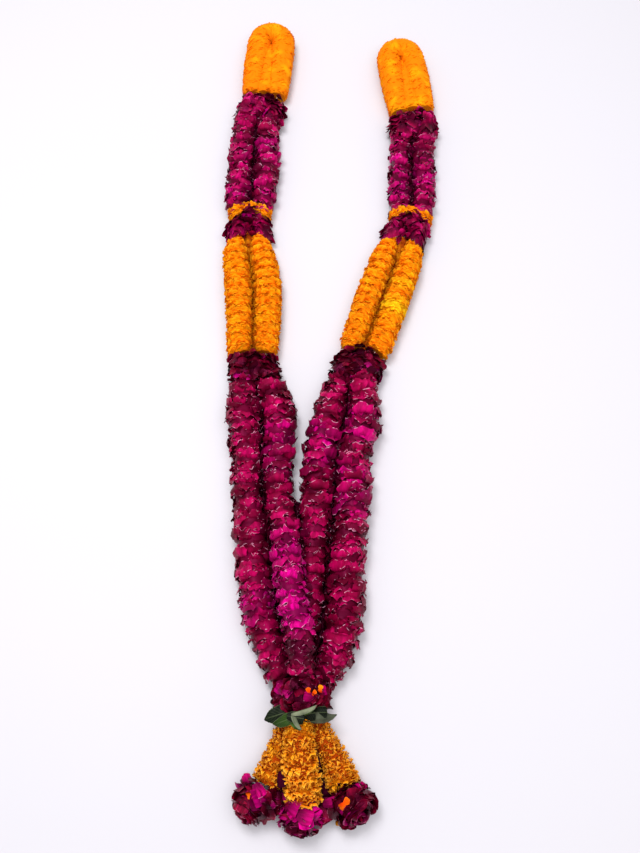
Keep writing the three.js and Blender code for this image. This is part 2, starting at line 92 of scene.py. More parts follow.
def blend(tree, share, first, second):
    """The colour at a share of the way from one to another. Each is a hex colour or comes from a node."""
    ends = [linear(colour) if isinstance(colour, str) else colour for colour in (first, second)]
    return node(tree, "ShaderNodeMix", {0: share, 6: ends[0], 7: ends[1]}, data_type="RGBA").outputs[2]


def finish_named(name, **shader_values):
    """A new material and its tree; the values go straight on the shader's sockets."""
    material = bpy.data.materials.new(name)
    material.use_nodes = True
    for key, value in shader_values.items():
        material.node_tree.nodes["Principled BSDF"].inputs[key.replace("_", " ")].default_value = value
    return material, material.node_tree


def cover(tree, colour, height=None, strength=0.0, depth=0.0, sunk=False):
    """Gives a finish its colour and its relief, with the depth in metres. A sunk one is deepest where height
    is 1."""
    shader = tree.nodes["Principled BSDF"]
    tree.links.new(colour, shader.inputs["Base Color"])
    if height:
        bump = {"Height": height, "Strength": strength, "Distance": depth}
        tree.links.new(node(tree, "ShaderNodeBump", bump, invert=sunk).outputs[0], shader.inputs["Normal"])


def placed(name, data, home=None):
    """An object in the scene, or in another collection."""
    made = bpy.data.objects.new(name, data)
    (home or bpy.context.scene.collection).objects.link(made)
    return made


def point_values(mesh, values):
    """Named values at the points of a mesh."""
    for key, column in values.items():
        mesh.attributes.new(key, "FLOAT", "POINT").data.foreach_set("value", column)


def mesh_object(name, points, faces, material=None, values=None, home=None):
    """A smooth mesh of points in metres, at the origin."""
    mesh = bpy.data.meshes.new(name)
    mesh.from_pydata([tuple(p) for p in points], [], [tuple(f) for f in faces])
    if material:
        mesh.materials.append(material)
    mesh.polygons.foreach_set("use_smooth", [True] * len(mesh.polygons))
    point_values(mesh, values or {})
    return placed(name, mesh, home)


laminate, laminate_tree = finish_named("white_laminate", Roughness=0.6)
grain = node(laminate_tree, "ShaderNodeTexNoise", {"Scale": 3.0, "Detail": 4.0})
cover(laminate_tree, blend(laminate_tree, grain, "#CBC8CF", "#CFCCD3"))
HALF_TABLE = 4.0
corners = [(HALF_TABLE * x, HALF_TABLE * y, 0) for x, y in ((-1, -1), (1, -1), (1, 1), (-1, 1))]
table_top = mesh_object("table_top", corners, [(0, 1, 2, 3)], laminate)

world = bpy.data.worlds.new("pale_room")
world.use_nodes = True
ROOM = {"Color": linear("#FFFFFF"), "Strength": 0.66}
for key, value in ROOM.items():
    world.node_tree.nodes["Background"].inputs[key].default_value = value
bpy.context.scene.world = world
# Place and size in metres, and watts
LAMPS = {"window": ((-0.45, 0.45, 2.0), 0.8, 30.0), "ceiling": ((0.4, -0.4, 2.3), 2.0, 26.0)}
for name, (place, size, watts) in LAMPS.items():
    lamp = bpy.data.lights.new(name, "AREA")
    lamp.size, lamp.energy = size, watts
    holder = placed(name, lamp)
    holder.location = place
    holder.rotation_euler = (Vector((0, 0, 0)) - Vector(place)).to_track_quat("-Z", "Y").to_euler()
bpy.context.scene.view_settings.view_transform = "Standard"

# Its place in metres, angles in degrees, its sensor's height in millimetres
CAMERA = {"place": (-0.0193, -0.4418, 1.0243), "tipped": 20, "view": 50, "sensor": 36.0}
camera = placed("camera", bpy.data.cameras.new("camera"))
camera.location = CAMERA["place"]
camera.rotation_euler = (math.radians(CAMERA["tipped"]), 0, 0)
camera.data.sensor_fit, camera.data.sensor_height = "VERTICAL", CAMERA["sensor"]
camera.data.lens = CAMERA["sensor"] / 2 / math.tan(math.radians(CAMERA["view"] / 2))
bpy.context.scene.camera = camera


# ---- The threads: two long cotton ones, three short ones in the tassels, and the knot's wound binding ----
# Plain unbleached sewing cotton, several strands twisted together. Each leg has one thread, folded at its
# loop; all the ends are wound together at the knot with a few metres of the same thread.
def spot(tree):
    """Where a point of an object is, in metres."""
    return node(tree, "ShaderNodeTexCoord").outputs["Object"]


def quads(rows, columns, closed=False):
    """The faces between rows of points. Closed rows are rings."""
    n = columns if closed else columns + 1
    return [(i * n + j, i * n + (j + 1) % n, (i + 1) * n + (j + 1) % n, (i + 1) * n + j)
        for i in range(rows) for j in range(columns)]


cotton, cotton_tree = finish_named("unbleached_cotton_thread", Roughness=0.9, Sheen_Weight=0.25)
# Twisted plies show as slanting ridges, 0.7 mm apart here because the real 0.2 mm would be too fine to see.
# Between the ridges the colour is painted darker, as their shade.
ply = node(cotton_tree, "ShaderNodeTexWave", {"Vector": spot(cotton_tree), "Scale": 520.0, "Distortion": 2.0,
    "Detail": 2.0, "Detail Scale": 3.0}, bands_direction="DIAGONAL")
cover(cotton_tree, blend(cotton_tree, ply, "#B9A67F", "#E9DEC4"), ply, strength=0.6, depth=0.0002)
THREADS = ("left_thread", "right_thread", "tassel_thread_left", "tassel_thread_centre", "tassel_thread_right")
for name in THREADS:
    for place in frame["nodes"][name].material_slots:
        place.material = cotton

BINDING = {"turns": 34, "thread": 0.0008, "margin": 0.001}
TURN_STEPS, THREAD_SIDES = 14, 5
low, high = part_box("knot_binding")
SHIFT = Vector(((low.x + high.x) / 2 + 0.038, high.y + 0.366, 0))  # from the strands' tables to the row frame
middle = (low + high) / 2
radius = (high.x - low.x) / 2 - BINDING["thread"]
points = []
steps = BINDING["turns"] * TURN_STEPS
for i in range(steps + 1):
    angle = 2 * math.pi * i / TURN_STEPS
    run = low.y + BINDING["margin"] + (high.y - low.y - 2 * BINDING["margin"]) * i / steps
    out = Vector((math.cos(angle), 0, math.sin(angle)))
    for j in range(THREAD_SIDES):
        turn = 2 * math.pi * j / THREAD_SIDES
        points.append(Vector((middle.x, run, middle.z)) + out * (radius + BINDING["thread"] * math.cos(turn))
            + Vector((0, BINDING["thread"] * math.sin(turn), 0)))
start_cap, end_cap = range(THREAD_SIDES)[::-1], range(len(points) - THREAD_SIDES, len(points))
faces = [*quads(steps, THREAD_SIDES, closed=True), start_cap, end_cap]
binding = mesh_object("wound_binding", points, faces, cotton)
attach(binding, "root")
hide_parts("knot_binding")


# ---- The strands' lines: where each thread runs, how far its flowers reach, what they press against ----
# Both legs are a pair of strands side by side on the table. Below the last whole roses the strands come
# together, and the left inner one climbs over the right inner one. Sizes in millimetres, as they were
# measured on the strands.
GAP = 0.7  # between the flowers of two strands
SINK = 0.95  # a strand's height, as a share of its radius
STRETCHES = {
    "left": {"loop": 398, "upper": 352, "short": 226, "band": 209, "middle": 174, "marigolds": 19,
        "lower": -22},
    "right": {"loop": 372, "upper": 325, "short": 220, "band": 205, "middle": 166, "marigolds": 24,
        "lower": -17},
}
LONG_END = -362
BEND_CENTRE = {"left": (-85.5, 486), "right": (92, 459)}
LEGS = {  # Y, X of the middle, half the strands' spacing, radius
    "left": ((486, -85.5, 16.2, 16.5), (400, -93, 16, 15.5), (364, -97.5, 16, 16), (352, -102.4, 15.5, 15),
        (326, -104.5, 16, 16), (288, -104.9, 16.7, 17.3), (239, -108.2, 16.5, 16.5), (221, -108.3, 15, 14),
        (203, -108.5, 14.3, 13.4), (180, -109.5, 14.5, 13.6), (157, -108.3, 16, 16), (111, -101.7, 17.8, 18),
        (56, -99.7, 16.8, 16.8), (24, -99.6, 15.8, 15.8), (7, -97.7, 14.8, 14.2), (-14, -96.6, 15.2, 15.2),
        (-30, -94.4, 16, 16)),
    "right": ((459, 92, 16.2, 16.5), (386, 103, 16, 15.8), (362, 106.5, 16, 16.5), (348, 109, 15.5, 15.5),
        (334, 106.5, 15.6, 15.4), (313, 102.8, 15, 14.6), (288, 102.6, 15.5, 15.2), (239, 99.6, 15.5, 15),
        (215, 98.1, 14.6, 13.8), (191, 93, 15, 14.4), (176, 88.5, 15, 14.6), (157, 81, 16, 15.8),
        (134, 74.1, 16.5, 16.5), (89, 58, 17, 17), (45, 42.4, 16, 16), (29, 35.4, 15.5, 15),
        (10, 29, 15, 14.4), (-6, 25.5, 15.2, 15), (-30, 19, 15.5, 15.5)),
}
LONG_STRANDS = {  # Y, X, Z, radius
    "left_outer": ((-22, -111, 15, 15.5), (-50, -107.6, 18, 19.2), (-72, -108, 19, 20.3),
        (-110, -103, 17, 18.2), (-148, -102, 16, 17.2), (-191, -97.4, 17, 18), (-236, -92.3, 17, 18.5),
        (-280, -86.3, 18, 19.5), (-315, -78.6, 16.5, 17.8), (-335, -71, 15.5, 16.8),
        (-350, -63.5, 14.5, 15.8), (-362, -57, 13.8, 15)),
    "left_inner": ((-22, -81, 15, 15.5), (-50, -69, 18, 19.2), (-72, -67.2, 19, 20.3),
        (-110, -66.5, 17, 18.2), (-148, -67.3, 16.5, 17.3), (-191, -60.8, 22, 18.6), (-236, -53.5, 37, 18.5),
        (-280, -48.5, 44, 18), (-315, -41, 45.5, 17.5), (-335, -39, 43.5, 16.5), (-350, -38, 41, 16),
        (-362, -37.5, 38, 15.5)),
    "right_inner": ((-17, 4, 14.5, 15), (-50, -6.2, 18, 19.2), (-72, -10.5, 19.4, 20.7),
        (-110, -19, 18.8, 20), (-148, -21.7, 18.8, 20), (-191, -23.7, 17.4, 18.8), (-236, -27, 16.5, 17.8),
        (-280, -31, 16.5, 18), (-315, -36, 15, 16), (-335, -37.5, 13, 14), (-350, -38, 12, 12.8),
        (-362, -37, 11.4, 12)),
    "right_outer": ((-17, 34, 14.5, 15), (-50, 32.8, 18, 19.2), (-72, 31.5, 19.4, 20.7),
        (-110, 21.5, 18.8, 20), (-148, 18.5, 18.8, 20), (-191, 15.9, 19, 20.5), (-236, 11.5, 17.8, 19.2),
        (-280, 8.8, 19, 20.6), (-315, 5, 18.5, 20), (-335, -1, 17.6, 19), (-350, -8.5, 16, 17.4),
        (-362, -16, 14.6, 16)),
}
# Half the spacing of its sides, reach at its foot, how much more further on, and half the gap in its bend
LOOP = {"half": 16.2, "reach": 14.6, "swell": 2.6, "eye": 1.9}
LOOK = 28  # how far each way a leg's heading is measured
STRAIGHT_BELOW = 50  # from this Y down to 0 the strands' cuts turn square to Y
WALLS = 4  # the most planes that press on one place
ROUNDED = 4.0  # how much of a line is rounded off at its ends


def row_at(rows, y):
    """Every column of a table at Y, by cubic steps through its rows."""
    rising = np.array(rows if rows[0][0] < rows[1][0] else rows[::-1], float)
    last = len(rising) - 1
    i = int(np.clip(np.searchsorted(rising[:, 0], y, side="right") - 1, 0, last - 1))
    p, q = rising[i], rising[i + 1]
    before, after = rising[max(0, i - 1)], rising[min(last, i + 2)]
    width = q[0] - p[0]
    t = (y - p[0]) / width
    slope_in = (q - before) / (q[0] - before[0]) * width
    slope_out = (after - p) / (after[0] - p[0]) * width
    return ((2 * t**3 - 3 * t**2 + 1) * p + (t**3 - 2 * t**2 + t) * slope_in
        + (3 * t**2 - 2 * t**3) * q + (t**3 - t**2) * slope_out)


def station(centre, reach, walls=(), side=(1, 0, 0)):
    """One place on a thread: its point, its flowers' reach, and the planes that stop them, the table among
    them."""
    return {"centre": Vector(centre), "reach": reach, "walls": [*walls, (Vector((0, 0, -1)), centre[2])],
        "side": Vector(side)}


def leg_station(leg, hand, y):
    """On one of the two strands of a leg; hand is -1 for its left strand and 1 for its right one."""
    _, x, half, radius = row_at(LEGS[leg], y)
    t = min(1.0, max(0.0, y / STRAIGHT_BELOW))
    drift = row_at(LEGS[leg], y + LOOK)[1] - row_at(LEGS[leg], y - LOOK)[1]
    side = Vector((2 * LOOK, -t * t * (3 - 2 * t) * drift, 0)).normalized() * hand
    centre = Vector((x, y, radius * SINK)) + side * half
    return station(centre, radius, [(-side, half - GAP / 2)], side)


def between_strands(leg, y):
    """X and Y midway between the two strands of a leg."""
    here = leg_station(leg, 1, y)
    return (here["centre"] - here["side"] * row_at(LEGS[leg], y)[2]).xy


def sheaf_station(tables, name, y):
    """On one strand of several that lie against each other, cut square to Y."""
    _, x, z, radius = row_at(tables[name], y)
    centre, walls = Vector((x, y, z)), []
    for other in tables:
        if other != name:
            _, other_x, other_z, other_radius = row_at(tables[other], y)
            between = Vector((other_x - x, 0, other_z - z))
            walls.append((between.normalized(), between.length * radius / (radius + other_radius) - GAP / 2))
    return station(centre, radius, walls)


def loop_station(leg, hand, s):
    """On a loop, s millimetres along it from its outer foot. Also gives the loop's length."""
    foot = Vector((row_at(LEGS[leg], STRETCHES[leg]["loop"])[1], STRETCHES[leg]["loop"], 0))
    bend = Vector((*BEND_CENTRE[leg], 0))
    straight, half = (bend - foot).length, LOOP["half"]
    ahead = (bend - foot).normalized()
    across = ahead.cross(Vector((0, 0, 1))) * hand
    length = 2 * straight + math.pi * half
    s = min(s, length)
    turn = min(math.pi, max(0.0, (s - straight) / half))
    side = across * math.cos(turn) + ahead * math.sin(turn)
    run = max(0.0, min(s, length - s, straight))
    radius = LOOP["reach"] + LOOP["swell"] * math.sin(math.pi * run / (1.3 * straight))
    centre = foot + ahead * run + side * half
    centre.z = radius * SINK
    eye = GAP / 2 + (LOOP["eye"] - GAP / 2) * math.sin(turn) ** 0.5
    return station(centre, radius, [(-side, half - eye)], side), length


def guide(stations, fresh):
    """A line of points along a thread, in metres, that carries what the flowers on it need to know. Each
    entry of the brightness list is the Y of brighter flowers, half the length they take up, and how bright
    they are; below 0 the flowers there are painted darker, as shade."""
    ends = stations[0]["centre"], stations[-1]["centre"]
    for s in stations:
        near = min(1.0, min((s["centre"] - end).length for end in ends) / ROUNDED)
        s["reach"] *= 0.8 + 0.2 * math.sqrt(1 - (1 - near) ** 2)
    mesh = bpy.data.meshes.new("guide")
    places = [s["centre"] / 1000 + SHIFT for s in stations]
    mesh.from_pydata(places, [(i, i + 1) for i in range(len(places) - 1)], [])
    point_values(mesh, {"reach": [s["reach"] / 1000 for s in stations],
        "fresh": [sum(b * math.exp(-(((s["centre"].y - y) / w) ** 2)) for y, w, b in fresh)
            for s in stations]})
    for k in range(WALLS):
        walls = [s["walls"][k] if k < len(s["walls"]) else (Vector((0, 0, 0)), 1) for s in stations]
        flat = [c for normal, distance in walls for c in normal / max(distance, 1) * 1000]
        mesh.attributes.new(f"wall_{k}", "FLOAT_VECTOR", "POINT").data.foreach_set("vector", flat)
    return placed("guide", mesh)


def span(low, high, step=2.0):
    """Places from one to another, about a step apart."""
    return np.linspace(low, high, max(2, int(abs(high - low) / step) + 1))


# ---- Marigolds: whole orange heads threaded through their middles, side by side like beads ----
# A head is some hundreds of short ruffled petals packed round its thread. Fresh ones are bright orange, and
# yellower at the petals' tips and browner at their roots. Heads are about 34 mm across and 12 mm apart.
GOLDEN_ANGLE = 2.39996  # from one petal to the next, round a thread or a rose
CLEAR = 0.0006  # the least height above the table, in metres


def sheet(rows, columns, point_at):
    """A sheet of points, its faces and its values. point_at takes how far along it is and how far to a side,
    the first from 0 to 1 and the second from -1 to 1."""
    grid = [(row / rows, 2 * column / columns - 1) for row in range(rows + 1)
        for column in range(columns + 1)]
    values = {"along": [t for t, _ in grid], "across": [0.5 + 0.5 * u for _, u in grid]}
    return [point_at(t, u) for t, u in grid], quads(rows, columns), values


def petal_shape(name, home, seed, half_angle, root, turn_over, wave, cells, bend):
    """A petal as a thin sheet: its root near the thread, its tip turned over along the thread. It reaches to
    1. The bend's values are where it starts, how much of the petal it takes, and how it tightens."""
    draw = np.random.default_rng(seed)
    steps = np.linspace(0, 1, 33)
    start, share, tightening = bend
    heading = turn_over * np.clip((steps - start) / share, 0, 1) ** tightening
    out, up = (np.concatenate([[0], np.cumsum(part(heading[1:]))]) / 32 for part in (np.cos, np.sin))
    scale = (1 - root) / out.max()
    phase, ripples = draw.uniform(0, 6.28, 3), draw.uniform(1.2, 2.2)

    def point_at(along, u):
        t = along * (1 - 0.26 * abs(u) ** 2.6)
        ruffle = wave * t * t
        z = scale * np.interp(t, steps, up) + ruffle * math.sin(ripples * math.pi * u + phase[0])
        swell = math.sin(1.3 * ripples * math.pi * u + phase[1])
        r = root + scale * np.interp(t, steps, out) + 0.6 * ruffle * swell
        angle = half_angle * u * (0.5 + 0.5 * t) + 0.05 * math.sin(2 * u + phase[2])
        return r * math.cos(angle), r * math.sin(angle), z

    points, faces, values = sheet(*cells, point_at)
    mesh_object(name, points, [face[::-1] for face in faces], values=values, home=home)


def petal_shapes(kind, seed, half_angle, root, turn_over, wave, cells=(3, 3), bend=(0.42, 0.58, 1.2)):
    """Six petals in a collection outside the scene. Their half angle in degrees, turn and wave are each given
    as the least, the step to the next petal, and how many petals there are before it starts again."""
    home = bpy.data.collections.new(f"{kind}_petals")
    for k in range(6):
        forms = (half_angle, turn_over, wave)
        angle, turn, height = (least + step * (k % count) for least, step, count in forms)
        petal_shape(f"{kind}_petal_{k}", home, seed + k, math.radians(angle), root, turn, height, cells, bend)
    return home


def maths(tree, operation, *values):
    """A number worked out from others."""
    return node(tree, "ShaderNodeMath", dict(enumerate(values)), operation=operation)


def ranged(tree, value, low, high, at_low=0.0, at_high=1.0):
    """A value carried over from one range to another, and held at its ends."""
    return node(tree, "ShaderNodeMapRange", {0: value, 1: low, 2: high, 3: at_low, 4: at_high})


def threading_tree():
    """Petals set round a thread at an even spacing, each turned on from the last, in clumps along it."""
    tree = bpy.data.node_groups.new("petals_on_a_thread", "GeometryNodeTree")
    sockets = {"Thread": "Geometry", "Shapes": "Collection", "Seed": "Int", "Finish": "Material"}
    numbers = ("Spacing", "Turn", "Clump", "Clump depth", "Uneven", "Core", "Press", "Lean", "Loose",
        "Both ways", "Ruffle", "Ruffle size")
    sockets.update(dict.fromkeys(numbers, "Float"))
    for name, kind in sockets.items():
        tree.interface.new_socket(name, in_out="INPUT", socket_type=f"NodeSocket{kind}")
    tree.interface.new_socket("Petals", in_out="OUTPUT", socket_type="NodeSocketGeometry")
    add, sums = partial(node, tree), partial(maths, tree)
    given = add("NodeGroupInput").outputs

    line = add("GeometryNodeMeshToCurve", {"Mesh": given["Thread"]})
    evenly = add("GeometryNodeResampleCurve", {"Curve": line, "Length": given["Spacing"]}, mode="LENGTH")
    dots = add("GeometryNodeCurveToPoints", {"Curve": evenly}, mode="EVALUATED").outputs
    number = add("GeometryNodeInputIndex")

    def chance(low, high, salt):
        seed = sums("ADD", given["Seed"], salt)
        return add("FunctionNodeRandomValue", {"Min": low, "Max": high, "Seed": seed}, data_type="FLOAT")

    def vectors(operation, *values):
        return add("ShaderNodeVectorMath", dict(enumerate(values)), operation=operation)

    def scaled(vector, factor):
        return add("ShaderNodeVectorMath", {0: vector, "Scale": factor}, operation="SCALE")

    def stored(geometry, name, value, domain):
        return add("GeometryNodeStoreNamedAttribute", {"Geometry": geometry, "Name": name, "Value": value},
            data_type="FLOAT", domain=domain)

    # The direction in which each petal leaves the thread
    tangent = dots["Tangent"]
    side = vectors("NORMALIZE", vectors("CROSS_PRODUCT", tangent, (0, 0, 1)))
    top = vectors("CROSS_PRODUCT", side, tangent)
    angle = sums("ADD", sums("MULTIPLY", number, given["Turn"]), chance(-0.5, 0.5, 11))
    outward = vectors("ADD", scaled(side, sums("COSINE", angle)), scaled(top, sums("SINE", angle)))

    # How far it reaches: less at the ends of a clump, and no further than a neighbour or the table lets it
    run = sums("MULTIPLY", number, given["Spacing"])
    wander = add("ShaderNodeTexNoise", {"W": sums("ADD", run, given["Seed"]), "Scale": 32.0, "Detail": 1.0},
        noise_dimensions="1D")
    steady = sums("MULTIPLY", sums("DIVIDE", run, given["Clump"]), 2 * math.pi)
    phase = sums("MULTIPLY_ADD", sums("SUBTRACT", wander, 0.5), given["Uneven"], steady)
    dip = sums("POWER", sums("ABSOLUTE", sums("COSINE", sums("MULTIPLY", phase, 0.5))), 4.0)
    own = add("GeometryNodeInputNamedAttribute", {"Name": "reach"}, data_type="FLOAT")
    clumped = sums("MULTIPLY", own, sums("SUBTRACT", 1.0, sums("MULTIPLY", dip, given["Clump depth"])))
    stray = sums("MULTIPLY", chance(-1.0, 0.5, 12), given["Loose"])
    wanted = sums("MULTIPLY", clumped, sums("ADD", 1.0, stray))
    pressed = 0.001
    for k in range(WALLS):
        wall = add("GeometryNodeInputNamedAttribute", {"Name": f"wall_{k}"}, data_type="FLOAT_VECTOR")
        pressed = sums("MAXIMUM", vectors("DOT_PRODUCT", outward, wall).outputs["Value"], pressed)
    free = sums("MINIMUM", wanted, sums("DIVIDE", given["Press"], pressed))

    # Its lean along the thread: away from the middle of its clump
    lean = sums("ADD", sums("MULTIPLY", sums("SINE", phase), given["Lean"]), chance(-0.16, 0.16, 13))
    either = sums("MULTIPLY", chance(-1, 1, 14), given["Both ways"])
    flip = sums("SIGN", sums("ADD", sums("SINE", phase), either))
    axis = scaled(tangent, sums("MULTIPLY", flip, -1.0))
    tilted = vectors("ADD", outward, scaled(tangent, sums("MULTIPLY", lean, -1.0)))
    turned = add("FunctionNodeAxesToRotation", {0: axis, 1: tilted}, primary_axis="Z", secondary_axis="X")
    size = add("ShaderNodeCombineXYZ", {0: free, 1: wanted, 2: wanted})
    pick = add("FunctionNodeRandomValue", {4: 0, 5: 5, "Seed": given["Seed"]}, data_type="INT")
    shapes = add("GeometryNodeCollectionInfo", {"Collection": given["Shapes"], "Separate Children": True,
        "Reset Children": True})
    set_round = add("GeometryNodeInstanceOnPoints", {"Points": dots["Points"], "Instance": shapes,
        "Pick Instance": True, "Instance Index": pick, "Rotation": turned, "Scale": size})
    # How hard it presses against a neighbour or the table, kept as deep: the finishes paint such petals
    # darker, as the shade in the grooves and at the table
    crush = ranged(tree, sums("MULTIPLY", pressed, wanted), 0.62, 1.06)
    marked = stored(stored(set_round, "tone", chance(0, 1, 15), "INSTANCE"), "deep", crush, "INSTANCE")
    real = add("GeometryNodeRealizeInstances", {0: marked})

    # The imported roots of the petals, close to the thread, as one solid middle
    coarse = add("GeometryNodeResampleCurve", {"Curve": line, "Length": 0.003}, mode="LENGTH")
    hoop = add("GeometryNodeCurvePrimitiveCircle", {"Resolution": 24, "Radius": 1.0})
    core = add("GeometryNodeCurveToMesh", {"Curve": coarse, "Profile Curve": hoop, "Fill Caps": True,
        "Scale": sums("MULTIPLY", own, given["Core"])})
    # It carries a petal root's values, so the finishes give it their darker root colour; on roses that is
    # painted shade deep in the strand
    for key, value in (("along", 0.3), ("across", 0.5), ("tone", 0.3)):
        core = stored(core, key, value, "POINT")
    whole = add("GeometryNodeJoinGeometry", {0: real})
    tree.links.new(core.outputs[0], whole.inputs[0])

    # Every petal's own crumple, and nothing below the table
    place = add("GeometryNodeInputPosition")
    crumple = add("ShaderNodeTexNoise", {"Vector": place, "Scale": given["Ruffle size"], "Detail": 1.0})
    push = scaled(vectors("SUBTRACT", crumple.outputs["Color"], (0.5, 0.5, 0.5)), given["Ruffle"])
    parts = add("ShaderNodeSeparateXYZ", {0: vectors("ADD", place, push)}).outputs
    height = sums("SMOOTH_MAX", parts[2], CLEAR, 0.001)
    lifted = add("ShaderNodeCombineXYZ", {0: parts[0], 1: parts[1], 2: height})
    laid = add("GeometryNodeSetPosition", {"Geometry": whole, "Position": lifted})
    finished = add("GeometryNodeSetMaterial", {"Geometry": laid, "Material": given["Finish"]})
    add("NodeGroupOutput", {0: finished})
    return tree


florets = petal_shapes("marigold", 40, half_angle=(13, 2, 3), root=0.55, turn_over=(0.5, 0.25, 4),
    wave=(0.07, 0.02, 2))
frills = petal_shapes("tassel", 60, half_angle=(7, 2, 3), root=0.6, turn_over=(0.5, 0.35, 4),
    wave=(0.07, 0.03, 2))
on_a_thread = threading_tree()


HANGING = {"left": ((396, 7), (212, 10), (16, 8)), "right": ((370, 7), (210, 10), (20, 8))}  # Y, how far
# From the pair's middle to its outer side, and how far up and down it fades
ARCH = {"half": 33, "height": 20}


def hang_outer_sides(made, leg):
    """Near a cluster the outer sides of the two strands hang lower than their middles, in one arch."""
    flat = np.empty(3 * len(made.data.vertices), np.float32)
    made.data.vertices.foreach_get("co", flat)
    places = flat.reshape(-1, 3)
    x, y = (places[:, 0] - SHIFT.x) * 1000, (places[:, 1] - SHIFT.y) * 1000
    rows = np.array(sorted(LEGS[leg]))
    outwards = (x - np.interp(y, rows[:, 0], rows[:, 1])) / ARCH["half"]
    for level, drop in HANGING[leg]:
        places[:, 1] -= drop / 1000 * outwards**2 * np.exp(-(((y - level) / ARCH["height"]) ** 2))
    made.data.vertices.foreach_set("co", places.ravel())


def threaded(name, stations, inputs, replaced=(), fresh=(), hang=None):
    """Runs the threading tree along its stations and keeps the result as a plain mesh, which may stand for
    CAD nodes and may hang at its outer sides as its leg does."""
    line = guide(stations, fresh)
    modifier = line.modifiers.new("petals", "NODES")
    modifier.node_group = on_a_thread
    for key, value in inputs.items():
        modifier[on_a_thread.interface.items_tree[key].identifier] = value
    mesh = bpy.data.meshes.new_from_object(line.evaluated_get(bpy.context.evaluated_depsgraph_get()))
    mesh.name = name
    bpy.data.objects.remove(line)
    for spare in [a.name for a in mesh.attributes if a.name.startswith("wall_") or a.name == "reach"]:
        mesh.attributes.remove(mesh.attributes[spare])
    made = placed(name, mesh)
    if hang:
        hang_outer_sides(made, hang)
    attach(made, "root")
    if replaced:
        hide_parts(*replaced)


def attribute(tree, name):
    """What each petal carries under that name, as a number."""
    return node(tree, "ShaderNodeAttribute", attribute_name=name).outputs["Fac"]


def noise(tree, place, scale, detail):
    """Soft random patches from 0 to 1, the scale to a unit of the place."""
    return node(tree, "ShaderNodeTexNoise", {"Vector": place, "Scale": scale, "Detail": detail})


def ramp(tree, value, stops):
    """The colours that a value goes through; each stop is its place and its hex colour."""
    made = node(tree, "ShaderNodeValToRGB", {0: value})
    ends, (first, *between, last) = made.color_ramp.elements, stops
    for end, (place, colour) in ((ends[0], first), (ends[1], last)):
        end.position, end.color = place, linear(colour)
    for place, colour in between:
        ends.new(place).color = linear(colour)
    return made


def marigold_finish(name, stops, browned, pressed_shade_strength):
    """A marigold petal: matt and soft. Along it the colour goes from brown-orange to yellow-orange, and whole
    heads differ a little. Petals pressed in between two strands or against the table are painted darker, as
    the shade there. Fine ridges run to the tip, 0.7 mm apart here because the real 0.3 mm would be too fine
    to see."""
    material, tree = finish_named(name, Roughness=0.85, Specular_IOR_Level=0.08)
    golden = ranged(tree, noise(tree, spot(tree), 55.0, 1.0), 0.5, 0.75, 0.0, 0.55)
    colour = ramp(tree, attribute(tree, "along"), tuple(zip((0.0, 0.42, 0.72, 1.0), stops)))
    colour = blend(tree, golden, colour, "#FFB404")
    colour = blend(tree, ranged(tree, attribute(tree, "tone"), 0.5, 1.0, 0.0, browned), colour, "#D85A00")
    colour = blend(tree, attribute(tree, "fresh"), colour, "#FFCC14")
    # Painted shade: pressed petals go darker towards brown
    colour = blend(tree, maths(tree, "MULTIPLY", attribute(tree, "deep"), pressed_shade_strength), colour, "#7A2800")
    ridges = node(tree, "ShaderNodeTexWave", {"Scale": 4.0,
        "Vector": node(tree, "ShaderNodeCombineXYZ", {0: attribute(tree, "across")})})
    cover(tree, colour, ridges, strength=0.4, depth=0.0003)
    return material


marigold = marigold_finish("marigold_petal", ("#D05E00", "#F48600", "#FF9C00", "#FFB016"),
    browned=0.35, pressed_shade_strength=0.35)
loop_marigold = marigold_finish("packed_marigold_petal", ("#DC6A00", "#EA7E00", "#F48A00", "#FA9400"),
    browned=0.12, pressed_shade_strength=0.15)
# Darker throughout, for the petals deep in the groove between a leg's strands: its dark browns are painted
# shade
groove_shade_marigold = marigold_finish("groove_shade_marigold_petal", ("#5A1C00", "#A04000", "#D06400", "#E88400"),
    browned=0.5, pressed_shade_strength=0.0)
torn_marigold = marigold_finish("torn_marigold_petal", ("#B82800", "#EE4400", "#FF5A00", "#FF8018"),
    browned=0.2, pressed_shade_strength=0.0)
# Its roots go nearly black: partly the red-brown of the florets, partly painted shade in the pits between
# them
dark_rooted_marigold = marigold_finish("dark_rooted_marigold_petal", ("#3C0400", "#B84400", "#FF9804", "#FFBC3C"),
    browned=0.3, pressed_shade_strength=0.1)
HEADS = {"Shapes": florets, "Spacing": 0.00009, "Turn": GOLDEN_ANGLE, "Clump": 0.0124, "Clump depth": 0.09,
    "Uneven": 1.2, "Core": 0.82, "Press": 1.22, "Lean": 0.4, "Loose": 0.06, "Both ways": 0.8,
    "Ruffle": 0.0018, "Ruffle size": 260.0, "Finish": marigold}
LOOP_HEADS = {**HEADS, "Clump depth": 0.012, "Lean": 0.05, "Loose": 0.02, "Ruffle": 0.0006, "Core": 0.97,
    "Press": 1.6, "Finish": loop_marigold}
TASSEL_HEADS = {**HEADS, "Shapes": frills, "Spacing": 0.00007, "Clump depth": 0.14, "Loose": 0.15,
    "Ruffle": 0.0026, "Core": 0.7, "Finish": dark_rooted_marigold}
YELLOW_HEAD = {("right", "outer"): ((77, 7, 1.2), (107, 4, 0.6))}  # Y, half length, how yellow
OUTER_HAND = {"left": -1, "right": 1}
# The petals that fill a loop between its two sides: how high they come, less so near the bend
CREASE = {"lowest": 21.0, "highest": 30.0, "height": 14.5, "before_bend": 30, "fades": 34}
# The first heads of a strand taper up into the rose above them: where they start, and how narrow they get
NECK = {"start": 11, "above": 19, "length": 30, "narrower": 0.4}
